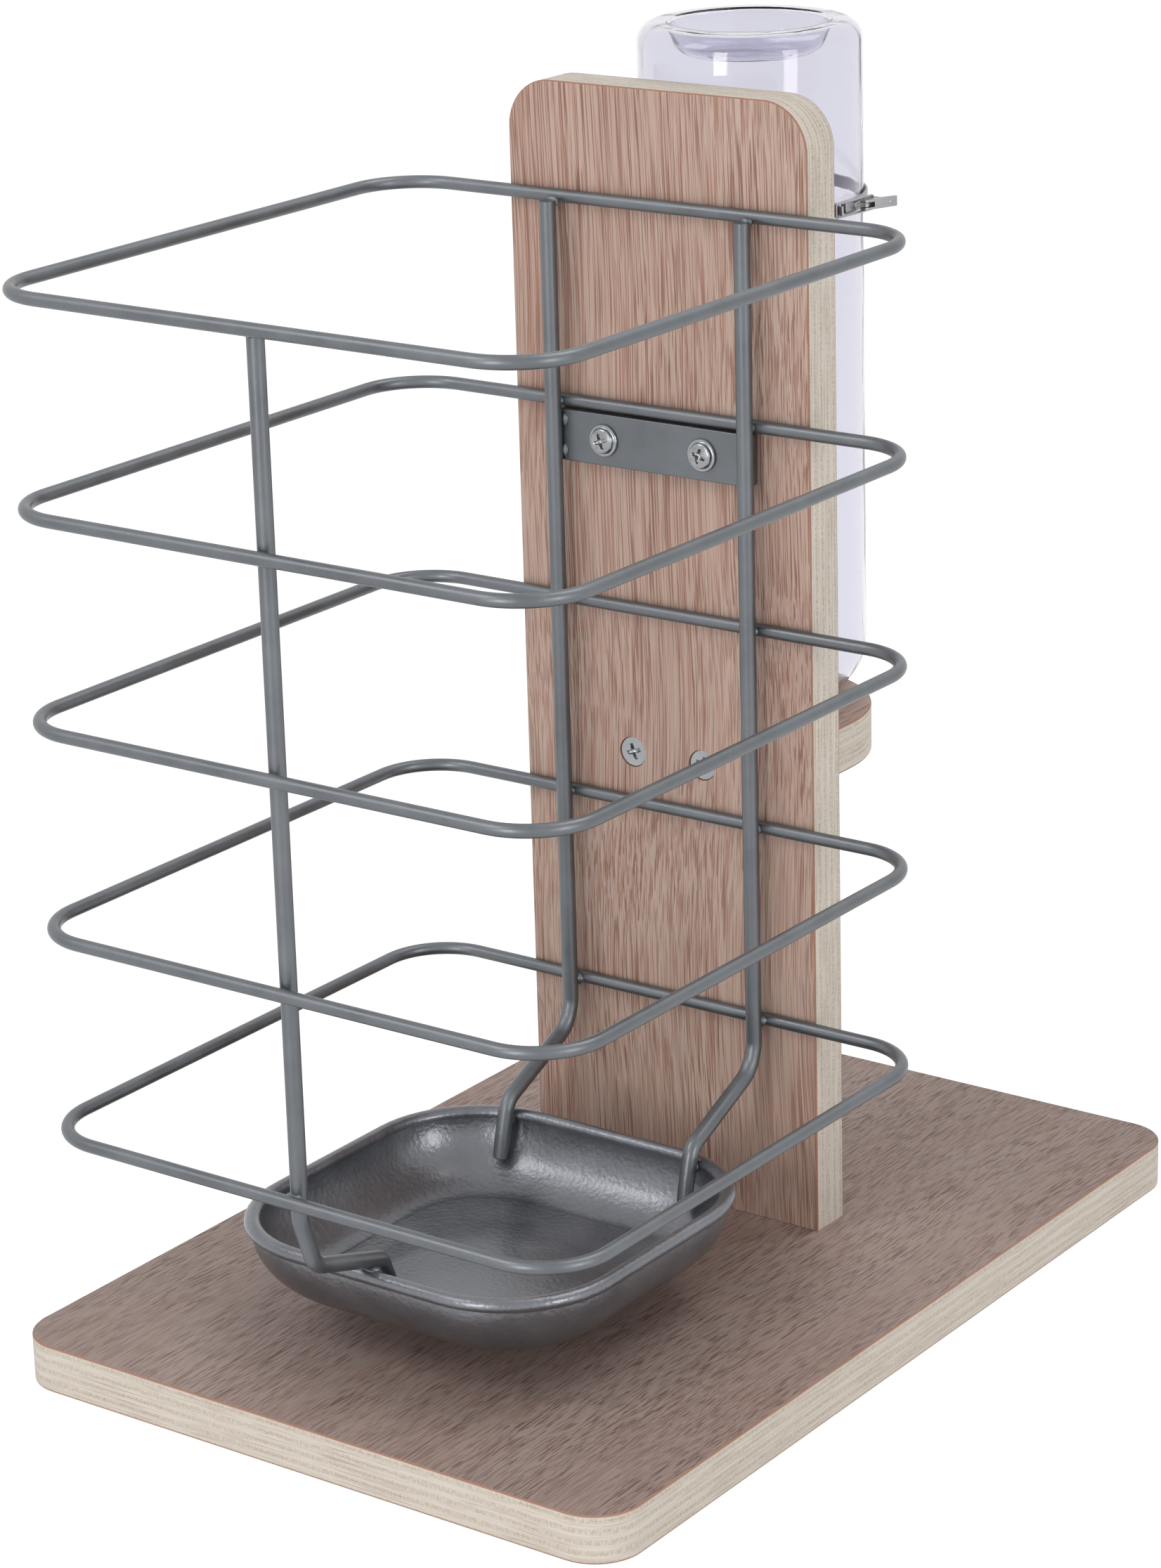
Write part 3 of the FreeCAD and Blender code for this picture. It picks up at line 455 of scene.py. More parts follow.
class NodeBench(Wiring):
    """The nodes of one material, which start from its object's coordinates."""

    def __init__(self, name: str) -> None:
        """Start an empty material with its output and Principled shader."""
        self.material = bpy.data.materials.new(name)
        self.material.use_nodes = True
        super().__init__(self.material.node_tree)
        self.shader = self.tree.nodes["Principled BSDF"]
        self.place = self.add("TexCoord", {}).outputs["Object"]

    def stretch(self, axis: int, along: float, across: float, shift: float = 0.0) -> Socket:
        """Scale the place apart along an axis and across it, and shift it."""
        scale = [across] * 3
        scale[axis] = along
        sources = {"Vector": self.place, "Scale": scale, "Location": (shift,) * 3}
        return self.add("Mapping", sources).outputs["Vector"]

    def sway(self, reach: float, scale: float) -> None:
        """Bend the place that later textures use, by a slow noise of a reach in metres."""
        slow = self.add("TexNoise", {"Vector": self.place, "Scale": scale, "Detail": 0.0}).outputs["Color"]
        bent = self.add("VectorMath", {0: slow, 1: (reach,) * 3, 2: self.place}, operation="MULTIPLY_ADD")
        self.place = bent.outputs["Vector"]

    def noise(self, vector: Socket, scale: float, detail: float, rough: float = 0.5, warp: float = 0.0) -> Socket:
        """Give smooth noise from 0 to 1."""
        sources = {"Vector": vector, "Scale": scale, "Detail": detail, "Roughness": rough, "Distortion": warp}
        return self.add("TexNoise", sources).outputs["Fac"]

    def ramp(self, share: Socket, stops: list[tuple[float, Triple]]) -> Socket:
        """Turn a number into a colour through a list of (place, colour) stops."""
        node = self.add("ValToRGB", {"Fac": share})
        elements = node.color_ramp.elements
        while len(elements) < len(stops):
            elements.new(0.5)
        for element, (place, colour) in zip(elements, stops):
            element.position = place
            element.color = (*colour, 1.0)
        return node.outputs["Color"]

    def between(self, value: object, low: float, high: float, start: float = 0.0, end: float = 1.0) -> Socket:
        """Map a number from one range to another, smoothly and clamped."""
        sources = {"Value": value, "From Min": low, "From Max": high, "To Min": start, "To Max": end}
        return self.add("MapRange", sources, interpolation_type="SMOOTHSTEP").outputs["Result"]

    def blend(self, share: object, *colours: object) -> Socket:
        """Mix two colours."""
        first, second = ((*colour, 1.0) if isinstance(colour, tuple) else colour for colour in colours)
        return self.add("Mix", {"Factor": share, 6: first, 7: second}, data_type="RGBA").outputs[2]

    def bump(self, height: Socket, strength: float, distance: float) -> None:
        """Roughen the shader's surface by a height in metres."""
        node = self.add("Bump", {"Height": height, "Strength": strength, "Distance": distance})
        self.set(Normal=node.outputs["Normal"])

    def along(self, axis: int) -> Socket:
        """Give one of the place's three numbers."""
        return self.add("SeparateXYZ", {"Vector": self.place}).outputs[axis]

    def set(self, **numbers: object) -> None:
        """Set the shader's sockets, with underscores for the blanks in their names."""
        for key, source in numbers.items():
            self.join(self.shader.inputs[key.replace("_", " ")], source)


@dataclass(frozen=True)
class VeneerFinish:
    """Red-brown open-pored veneer with fine darker pore lines, sanded and lightly oiled."""

    name: str
    grain: Grain
    seed: float = 0.0
    run: float = 28.0
    pale: Triple = (0.470, 0.350, 0.290)
    brown: Triple = (0.380, 0.258, 0.208)
    thread: Triple = (0.300, 0.135, 0.090)
    pore: Triple = (0.190, 0.084, 0.058)

    figure_scale: tuple[float, float] = (14, 2.2)
    patch_scale: tuple[float, float] = (30, 9)
    fibre_scale: tuple[float, float] = (900, 22)
    gather_scale: tuple[float, float] = (60, 6)
    redness_scale: tuple[float, float] = (22, 5)
    pore_pitch: float = 2600
    thread_pitch: float = 1900
    thread_run: float = 0.4
    relief: float = 0.12 * MM

    def grained(self, bench: NodeBench, scale: tuple[float, float], detail: float, rough: float = 0.5,
                warp: float = 0.0, shift: float = 0.0) -> Socket:
        """Give noise that is scaled apart across and along the grain."""
        vector = bench.stretch(self.grain.value, scale[1], scale[0], self.seed + shift)
        return bench.noise(vector, 1.0, detail, rough, warp)

    def make(self) -> Material:
        """Wire the veneer: broad figure, fibres, pore lines and red threads, each stretched along the grain."""
        bench = NodeBench(self.name)
        bench.sway(0.008, 9.0)
        figure = self.grained(bench, self.figure_scale, 3.0, 0.55, 0.6)
        patch = self.grained(bench, self.patch_scale, 2.0, 0.5, 0.3)
        fibre = self.grained(bench, self.fibre_scale, 4.0, 0.65)
        tone = bench.sums("MULTIPLY_ADD", fibre, 0.55, bench.sums("MULTIPLY_ADD", figure, 0.9, -0.28))
        tone = bench.sums("MULTIPLY_ADD", patch, 0.25, bench.sums("ADD", tone, -0.08))
        palest = tuple(1.1 * c for c in self.pale)
        ground = bench.ramp(tone, [(0.22, self.brown), (0.62, self.pale), (0.85, palest)])
        pores = bench.between(self.grained(bench, (self.pore_pitch, self.run), 1.5), 0.53, 0.60)
        thread_scale = (self.thread_pitch, self.thread_run * self.run)
        threads = bench.between(self.grained(bench, thread_scale, 2.0), 0.50, 0.62)
        gather = bench.between(self.grained(bench, self.gather_scale, 2.0), 0.28, 0.62, 0.45, 1.0)
        redness = bench.between(self.grained(bench, self.redness_scale, 2.0, shift=9.0), 0.35, 0.65, 0.30, 0.75)
        colour = bench.blend(bench.sums("MULTIPLY", threads, redness), ground, self.thread)
        dark = bench.sums("MULTIPLY", pores, gather)
        colour = bench.blend(bench.sums("MULTIPLY", dark, 0.80), colour, self.pore)
        gloss = bench.between(fibre, 0.3, 0.7, 0.50, 0.64)
        bench.set(Base_Color=colour, Roughness=gloss, Specular_IOR_Level=0.35)
        bench.bump(bench.sums("MULTIPLY_ADD", dark, -1.0, bench.sums("MULTIPLY", fibre, 0.4)), 0.5, self.relief)
        return bench.material


@dataclass(frozen=True)
class PlyEdgeFinish:
    """A board's cut edge: pale core plies with thin brown glue lines under a red-brown outer veneer."""

    name: str
    axis: int
    low: float
    thickness: float
    plies: int = 9
    pale: Triple = (0.575, 0.522, 0.460)
    warm: Triple = (0.450, 0.385, 0.315)
    glue: Triple = (0.215, 0.155, 0.120)
    veneer: Triple = (0.290, 0.115, 0.060)

    def make(self) -> Material:
        """Wire the layers from the depth through the board, with streaks that run along the edge."""
        bench = NodeBench(self.name)
        depth = bench.sums("MULTIPLY_ADD", bench.noise(bench.place, 30.0, 2.0), 0.0005, bench.along(self.axis))
        from_face = bench.sums("SUBTRACT", depth, self.low + 0.00025)
        layer = bench.sums("MULTIPLY", from_face, self.plies / self.thickness)
        turn = bench.between(bench.sums("PINGPONG", layer, 1.0), 0.35, 0.65)
        off_line = bench.sums("ABSOLUTE", bench.sums("SUBTRACT", bench.sums("FRACT", layer), 0.5))
        glue_line = bench.between(off_line, 0.430, 0.480)
        streak = bench.noise(bench.stretch(self.axis, 900.0, 60.0), 1.0, 3.0, 0.6)
        dots = bench.noise(bench.stretch(self.axis, 700.0, 1500.0), 1.0, 2.0, 0.6)
        cross = bench.ramp(dots, [(0.35, self.warm), (0.62, self.pale)])
        palest = tuple(1.1 * c for c in self.pale)
        lengthwise = bench.ramp(streak, [(0.30, self.warm), (0.50, self.pale), (0.75, palest)])
        broken = bench.between(bench.noise(bench.place, 45.0, 2.0), 0.40, 0.62)
        glued = bench.sums("MULTIPLY", glue_line, bench.sums("MULTIPLY_ADD", broken, 0.62, 0.14))
        wood = bench.blend(glued, bench.blend(turn, cross, lengthwise), self.glue)
        half = self.thickness / 2
        skin = bench.sums("ABSOLUTE", bench.sums("SUBTRACT", bench.along(self.axis), self.low + half))
        rim = bench.between(skin, half - 0.00065, half - 0.00045)
        colour = bench.blend(bench.sums("MULTIPLY", rim, 0.85), wood, self.veneer)
        bench.set(Base_Color=colour, Roughness=0.62, Specular_IOR_Level=0.3)
        bench.bump(bench.sums("ADD", streak, dots), 0.35, 0.00015)
        return bench.material


@dataclass(frozen=True)
class SatinMetalFinish:
    """Satin metal or metallic coat with a fine skin texture, faint streaks and a little uneven gloss."""

    name: str
    colour: Triple
    roughness: float = 0.34
    metallic: float = 0.85
    peel: float = 0.3
    peel_scale: float = 420.0
    coat: float = 0.0

    def make(self) -> Material:
        """Wire uneven colour and gloss from two noises, and bump from a finer one."""
        bench = NodeBench(self.name)
        cloud = bench.noise(bench.place, 55.0, 4.0, 0.6)
        speck = bench.noise(bench.place, 2600.0, 2.0, 0.5)
        low = tuple(0.84 * c for c in self.colour)
        high = tuple(min(1.0, 1.10 * c) for c in self.colour)
        ground = bench.ramp(cloud, [(0.3, low), (0.7, high)])
        bench.set(Base_Color=bench.blend(bench.between(speck, 0.70, 0.80, 0.0, 0.35), ground, low),
                  Metallic=self.metallic, Coat_Weight=self.coat, Coat_Roughness=0.12,
                  Roughness=bench.between(cloud, 0.25, 0.75, self.roughness * 0.85, self.roughness * 1.2))
        bench.bump(bench.noise(bench.place, self.peel_scale, 3.0, 0.45), self.peel, 0.0003)
        return bench.material


# ---------------------------------------------------------------- wooden boards


@dataclass
class Board:
    """A plywood board: a flat outline carried through its thickness, with softened edges."""

    node: str
    outline: Array
    grain: Grain
    through: int
    seed: float
    # Longer grain run, and darker greyer veneer colours that are painted shade for a less lit board
    long_grain_painted_shade: bool = False
    soften: float = 0.5 * MM
    skin: float = 0.2 * MM
    thickness: float = field(init=False)
    low: Vector = field(init=False)

    def __post_init__(self) -> None:
        """Read the board's place from the frame."""
        self.low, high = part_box(self.node)
        self.thickness = high[self.through] - self.low[self.through]

    def solid(self) -> Piece:
        """Build the board where the frame has it, its thickness along the right axis."""
        points = slab(self.outline, self.thickness, self.soften).points
        if self.through == 1:
            points = points[:, :, [0, 2, 1]]
        points = points + np.array(self.low) * np.eye(3)[self.through]
        return make_piece(f"{self.node}_ply", [Patch(points, cap_ends=True)])

    def build(self, cutters: list[Piece]) -> Piece:
        """Build, cut and dress the board: veneer on its two faces, plies on everything else.

        Args:
            cutters: Closed meshes to cut from it.

        Returns:
            The board.
        """
        piece = self.solid()
        if cutters:
            carve(piece, cutters)
        piece.data.materials.clear()
        veneer = VeneerFinish(f"{self.node}_veneer", self.grain, self.seed)
        # The base board's veneer: a longer grain run, and darker greyer copies of the colours as painted shade for
        # its less lit top
        if self.long_grain_painted_shade:
            veneer = replace(veneer, run=115.0, pale=(0.345, 0.268, 0.238), brown=(0.285, 0.208, 0.180),
                             thread=(0.235, 0.130, 0.098), pore=(0.110, 0.062, 0.050))
        edge = PlyEdgeFinish(f"{self.node}_plies", self.through, self.low[self.through], self.thickness)
        piece.data.materials.append(veneer.make())
        piece.data.materials.append(edge.make())
        count = len(piece.data.polygons)
        normals = np.empty(count * 3, np.float32)
        middles = np.empty(count * 3, np.float32)
        piece.data.polygons.foreach_get("normal", normals)
        piece.data.polygons.foreach_get("center", middles)
        facing = np.abs(normals.reshape(-1, 3)[:, self.through]) > FACE_ON
        depth = middles.reshape(-1, 3)[:, self.through] - self.low[self.through]
        outer = np.minimum(depth, self.thickness - depth) < self.skin
        piece.data.polygons.foreach_set("material_index", (~(facing & outer)).astype(np.int32))
        return dress(piece, Body.STAND, Slot.PLYWOOD, piece.data.materials[0], self.node)


@dataclass
class Woodwork:
    """The three boards of the stand."""

    hole: float = 2.0 * MM
    sink: float = 4.9 * MM
    sink_rim: float = 0.9 * MM
    sink_depth: float = 3.7 * MM
    past: float = 2.0 * MM
    shelf_flat: float = 0.5 * MM
    neck_hole: float = 18.0 * MM
    base_corner: float = 15.0 * MM
    post_corner: float = 15.0 * MM

    def countersink(self, at: Vector, inward: Vector, through: float) -> Piece:
        """Make a cutter for a countersunk hole: a wide rim, a cone and a straight hole."""
        end = through + self.past
        rows = np.array([[0, -self.past], [self.sink, -self.past], [self.sink, self.sink_rim],
                         [self.hole, self.sink_depth], [self.hole, end], [0, end]])
        cutter = make_piece("cutter", [Patch(lathe(rows, 40))])
        cutter.data.transform(aimed(at, inward))
        return cutter

    def build(self, screws: "ScrewSet") -> None:
        """Build base, post and shelf around the places of their screws."""
        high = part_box("base_board")[1]
        outline = rounded_outline(high.x, high.y, self.base_corner, 14)
        feet = [self.countersink(Vector((p.x, p.y, 0)), Vector((0, 0, 1)), high.z) for p in screws.post_heads]
        # The base board takes the darker veneer: painted shade for its less lit top
        Board("base_board", outline, Grain.ALONG_Y, 2, 3.7, True).build(feet)

        low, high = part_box("post")
        outline = arched((low.x, low.z), (high.x, high.z), self.post_corner, 14)
        sinks = [self.countersink(Vector((p.x, low.y, p.z)), Vector((0, 1, 0)), high.y - low.y)
                 for p in screws.shelf_heads]
        Board("post", outline, Grain.ALONG_Z, 1, 0.0).build(sinks)

        low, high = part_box("bottle_shelf")
        outline = arched((low.x, low.y), (high.x, high.y), high.x - self.shelf_flat, 24)
        under, over = low.z - self.past, high.z + self.past
        rows = np.array([[0, under], [self.neck_hole, under], [self.neck_hole, over], [0, over]])
        cutter = make_piece("cutter", [Patch(lathe(rows, 72))])
        cutter.data.transform(Matrix.Translation((0, middle("bottle").y, 0)))
        Board("bottle_shelf", outline, Grain.ALONG_Y, 2, 8.1).build([cutter])


# ---------------------------------------------------------------- screws


@dataclass
class ScrewSet:
    """All the screws: heads with a pressed cross, and shanks with a rolled thread."""

    pan: float = 5.0 * MM
    pan_height: float = 2.6 * MM
    pan_flange: float = 0.8 * MM
    flat: float = 4.8 * MM
    clamp_head: float = 3.2 * MM
    clamp_height: float = 1.9 * MM
    shank: float = 1.9 * MM
    clamp_shank: float = 1.4 * MM
    pitch: float = 1.6 * MM
    pan_cross: float = 2.5 * MM
    clamp_cross: float = 1.6 * MM
    clamp_flange: float = 0.4 * MM
    first_turn: float = 0.35
    next_turn: float = 0.9
    post_heads: list[Vector] = field(init=False)
    shelf_heads: list[Vector] = field(init=False)
    plate_heads: list[Vector] = field(init=False)
    clamp_heads: list[Vector] = field(init=False)

    def __post_init__(self) -> None:
        """Work out each head's place from the frame's boxes: pairs lie at the ends of their box."""
        boxes = {name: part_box(f"{name}_screws") for name in ("post", "shelf", "plate", "clamp")}
        self.post_heads = self.ends("post_screws", self.flat, 2, boxes["post"][0].z)
        self.shelf_heads = self.ends("shelf_screws", self.flat, 1, boxes["shelf"][0].y)
        self.plate_heads = self.ends("plate_screws", self.pan, 1, boxes["plate"][0].y + self.pan_height)
        self.clamp_heads = self.ends("clamp_screws", self.clamp_head, 1, boxes["clamp"][1].y - self.clamp_height)

    @staticmethod
    def ends(node: str, inset: float, axis: int, level: float) -> list[Vector]:
        """Give two points in the middle of a box, set in from its ends along X, with one number replaced."""
        low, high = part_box(node)
        points = [middle(node), middle(node)]
        for point, x in zip(points, (low.x + inset, high.x - inset)):
            point.x = x
            point[axis] = level
        return points

    def crossed(self, radii: Array, heights: Array, reach: float, depth: float, count: int = 96) -> Array:
        """Turn a head's profile and press a cross into it.

        The cross is deepest in the middle: height falls by depth * (1 - |along| / reach) inside
        the two arms, whose sides slope over a short run.
        """
        angles = turns(count)
        x = radii[:, None] * np.cos(angles)
        y = radii[:, None] * np.sin(angles)
        half = 0.17 * reach
        arms = []
        for along, across in ((np.abs(x), np.abs(y)), (np.abs(y), np.abs(x))):
            width = half * (1.35 - 0.5 * np.clip(along / reach, 0, 1))
            wall = 1 - smooth_step(across - width, -0.18 * half, 0.42 * half)
            arms.append(wall * (1 - smooth_step(along, 0.80 * reach, reach)) * (1 - 0.45 * along / reach))
        fall = depth * np.maximum(*arms)
        return np.stack([x, y, heights[:, None] - fall], axis=2)

    def thread(self, radius: float, length: float, tip: float) -> Array:
        """Give a threaded shank below zero: radius r - t|saw(angle + z / pitch)|, narrowing to a point."""
        heights = -np.linspace(0, length, int(length / self.pitch * 7))[:, None]
        angles = turns(24)
        turn = np.mod(angles / (2 * np.pi) + heights / self.pitch, 1.0)
        groove = 0.32 * np.abs(2 * turn - 1)
        taper = np.clip((length + heights) / tip, 0.02, 1.0)
        r = radius * taper * (1 - groove * smooth_step(-heights, 1.0 * MM, 2.5 * MM))
        return np.stack([r * np.cos(angles), r * np.sin(angles), np.broadcast_to(heights, r.shape)], axis=2)

    def pan_screw(self, head: float, height: float, flange: float, shank: float, length: float,
                  reach: float) -> list[Patch]:
        """Give a pan head screw: a flat washer flange, a low dome with a cross, a threaded shank."""
        inner = np.linspace(0, 0.72 * head, 30)
        dome = height - 0.22 * height * (inner / (0.72 * head)) ** 2
        wall = np.array([0.77, 0.80, 0.81, 0.84, 0.97, 1.0, 1.0, 0.97]) * head
        fall = np.array([0.66 * height, 0.50 * height, 1.15 * flange, flange, flange, 0.75 * flange,
                         0.2 * flange, 0.0])
        radii = np.concatenate([inner, wall, [shank]])
        heights = np.concatenate([dome, fall, [0.0]])
        top = self.crossed(radii, heights, reach, 0.62 * height)
        return [Patch(top), Patch(self.thread(shank, length, 3 * MM))]

    def flat_screw(self, length: float) -> list[Patch]:
        """Give a countersunk screw: a flat top with a cross, a rim, a cone and a threaded shank."""
        inner = np.linspace(0, 0.95 * self.flat, 34)
        radii = np.concatenate([inner, [self.flat, self.flat, self.shank]])
        heights = np.concatenate([np.zeros(34), [-0.1 * MM, -0.4 * MM, -3.2 * MM]])
        top = self.crossed(radii, heights, 0.56 * self.flat, 1.5 * MM)
        shank = self.thread(self.shank, length, 4 * MM)
        return [Patch(top), Patch(shank[len(shank) // 12:])]

    def pair(self, node: str, heads: list[Vector], outward: Vector, patches: list[Patch],
             finish: Material) -> None:
        """Set two like screws and dress them as one piece."""
        placed = []
        for index, head in enumerate(heads):
            move = aimed(head, outward) @ Matrix.Rotation(self.first_turn + self.next_turn * index, 4, "Z")
            turn, shift = np.array(move.to_3x3()), np.array(move.translation)
            placed += [Patch(patch.points @ turn.T + shift) for patch in patches]
        dress(make_piece(f"{node}_bright", placed, 40), Body.STAND, Slot.SCREW, finish, node)

    def build(self, finish: Material) -> None:
        """Build the four pairs of screws."""
        front = Vector((0, -1, 0))
        pan = self.pan_screw(self.pan, self.pan_height, self.pan_flange, self.shank,
                             extent("plate_screws").y - self.pan_height, self.pan_cross)
        small = self.pan_screw(self.clamp_head, self.clamp_height, self.clamp_flange, self.clamp_shank,
                               extent("clamp_screws").y - self.clamp_height, self.clamp_cross)
        shelf = self.flat_screw(extent("shelf_screws").y)
        post = self.flat_screw(extent("post_screws").z)
        self.pair("plate_screws", self.plate_heads, front, pan, finish)
        self.pair("clamp_screws", self.clamp_heads, -front, small, finish)
        self.pair("shelf_screws", self.shelf_heads, front, shelf, finish)
        self.pair("post_screws", self.post_heads, Vector((0, 0, -1)), post, finish)


# ---------------------------------------------------------------- basket


@dataclass
class Basket:
    """Five hoops, three uprights, their welds and the plate that hangs them on the post."""

    hoops: int = 5
    hoop_corner: float = 20.5 * MM
    bend_wide: float = 10.0 * MM
    bend_tight: float = 7.0 * MM
    bend_hook: float = 4.0 * MM
    foot_lean: float = 5.1 * MM
    foot_lift: float = 3.8 * MM
    knee_drop: float = 7.6 * MM
    knee_step: float = 2.6 * MM
    heel_lift: float = 7.0 * MM
    toe_start: float = 9.5 * MM
    toe_dip: float = 2.3 * MM
    toe_end: float = 13.5 * MM
    toe_drop: float = 9.8 * MM
    rim_gap: float = 0.4 * MM
    bead: float = 2.2 * MM
    top_drop: float = 1.4 * MM

    def hoop(self, number: int, finish: Material) -> None:
        """Sweep a round wire along a rounded rectangle."""
        low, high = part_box(f"ring_{number}")
        wire = (high.z - low.z) / 2
        flat = rounded_outline(high.x - wire, (high.y - low.y) / 2 - wire, self.hoop_corner, 16, 8)
        path = np.column_stack([flat, np.zeros(len(flat))]) + np.array(middle(f"ring_{number}"))
        points = sweep(path, disc_section(wire, 24), UP, closed=True)
        dress(make_piece(f"hoop_{number}", [Patch(points, wrap_rows=True)]), Body.STAND, Slot.WIRE, finish,
              f"ring_{number}")

    def upright(self, node: str, corners: Array, radii: list[float], flatten: float,
                finish: Material) -> None:
        """Sweep a round wire down a bent path whose last stretch is pressed flat.

        Args:
            node: The plain solid it replaces.
            corners: Corner points from the top down.
            radii: Bend radii at the inner corners.
            flatten: Share of the wire's thickness left at its end.
            finish: Its material.
        """
        wire = extent(node).x / 2
        path = refine(bent_path(corners, radii), 3.0 * MM)
        to_end = left_to_end(path)
        thin = 1 - (1 - flatten) * (1 - smooth_step(to_end, 1.5 * MM, 9.0 * MM))
        reach = wire * np.sqrt(1 - (1 - np.clip(to_end / (0.5 * wire), 0, 1)) ** 2 * 0.75)
        sections = disc_section(1.0, 28) * np.stack([thin * reach, reach], axis=1)[:, None]
        points = sweep(path, sections, RIGHT)
        dress(make_piece(f"{node}_wire", [Patch(points, cap_ends=True)]), Body.STAND, Slot.WIRE, finish, node)

    def blob(self, at: Triple, size: Triple, seed: int) -> Patch:
        """Give a weld's lump: an ellipsoid, its size in mm, whose radius waves by sines of its two angles."""
        phase = np.random.default_rng(seed).uniform(0, 2 * np.pi, 4)
        tilt = np.linspace(0, np.pi, 13)[:, None]
        angles = turns(20)[None]
        wave = 0.09 * np.sin(2 * angles + phase[0]) + 0.07 * np.sin(3 * tilt + phase[1]) \
            + 0.05 * np.sin(5 * angles + 3 * tilt + phase[2])
        wave = 1 + wave * np.sin(tilt)
        return Patch(ball_grid(20) * wave[:, :, None] * np.array(size) * MM + np.array(at))

    def welds(self, finish: Material) -> None:
        """Put a lump at every crossing, at the plate's ends and where the feet meet the tray."""
        lumps: list[Patch] = []
        sides = [middle(f"upright_{side}").x for side in ("left", "right")]
        for number in range(1, self.hoops + 1):
            low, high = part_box(f"ring_{number}")
            wire = high.z - low.z
            level = (low.z + high.z) / 2 - self.top_drop * (number == 1)
            big = 1.25 if number == self.hoops else 0.8
            lumps.append(self.blob((0, low.y + wire, level), (2.4 * big, 1.7 * big, 1.9 * big), number))
            for side, x in enumerate(sides):
                lumps.append(self.blob((x, high.y - wire, level), (2.7 * big, 1.6 * big, 2.0 * big),
                                       10 + 2 * number + side))
        low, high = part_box("mounting_plate")
        wire = 0.9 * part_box("upright_front")[1].x
        for x in (low.x, high.x):
            for share in (0.2, 0.8):
                at = (x - math.copysign(wire, x), low.y - 0.1 * MM, low.z + share * (high.z - low.z))
                lumps.append(self.blob(at, (1.3, 0.9, 2.2), int(40 + 10 * share)))
        low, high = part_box("tray")
        lumps.append(self.blob((0.6 * MM, low.y + 1.6 * self.bead, high.z - 0.1 * MM), (3.4, 2.2, 1.1), 70))
        for side, x in enumerate(sides):
            lumps.append(self.blob((x, high.y - 3.1 * self.bead, high.z - self.bead), (2.6, 1.7, 2.3), 80 + side))
        dress(make_piece("weld_lumps", lumps), Body.STAND, Slot.WIRE, finish)

    def plate(self, finish: Material) -> None:
        """Build the flat plate with softened edges."""
        low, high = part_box("mounting_plate")
        outline = rounded_outline(high.x, (high.z - low.z) / 2, 0.8 * MM, 5)
        points = slab(outline, high.y - low.y, 0.35 * MM).points[:, :, [0, 2, 1]]
        points = points + np.array([0, low.y, (low.z + high.z) / 2])
        dress(make_piece("hanging_plate", [Patch(points, cap_ends=True)]), Body.STAND, Slot.WIRE, finish,
              "mounting_plate")

    def build(self, finish: Material) -> None:
        """Build hoops, uprights, plate and welds."""
        for number in range(1, self.hoops + 1):
            self.hoop(number, finish)
        tray_low, tray_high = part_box("tray")
        lowest = middle(f"ring_{self.hoops}").z
        for node in ("upright_left", "upright_right"):
            low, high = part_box(node)
            wire = (high.x - low.x) / 2
            x = middle(node).x
            back = high.y - wire
            tilt = math.atan2(self.foot_lean, tray_high.z + self.foot_lift - low.z)
            end_y = low.y + wire * math.cos(tilt)
            end_z = low.z + wire * math.sin(tilt)
            corners = np.array([(x, back, high.z), (x, back, lowest - self.knee_drop),
                                (x, back - self.knee_step, lowest - 2 * self.knee_drop),
                                (x, end_y + self.foot_lean, tray_high.z + self.foot_lift), (x, end_y, end_z)])
            self.upright(node, corners, [self.bend_wide, self.bend_wide, self.bend_tight], 0.85, finish)
        low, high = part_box("upright_front")
        wire = high.x
        front = low.y + wire
        over = tray_high.z + wire + self.rim_gap
        corners = np.array([(0, front, high.z), (0, front, lowest - self.knee_drop),
                            (0, front + 2 * self.knee_step, over + self.heel_lift),
                            (0, tray_low.y + self.toe_start, over - self.toe_dip),
                            (0, tray_low.y + self.toe_end, over - self.toe_drop)])
        self.upright("upright_front", corners, [self.bend_wide, self.bend_tight, self.bend_hook], 0.5, finish)
        self.plate(finish)
        self.welds(finish)


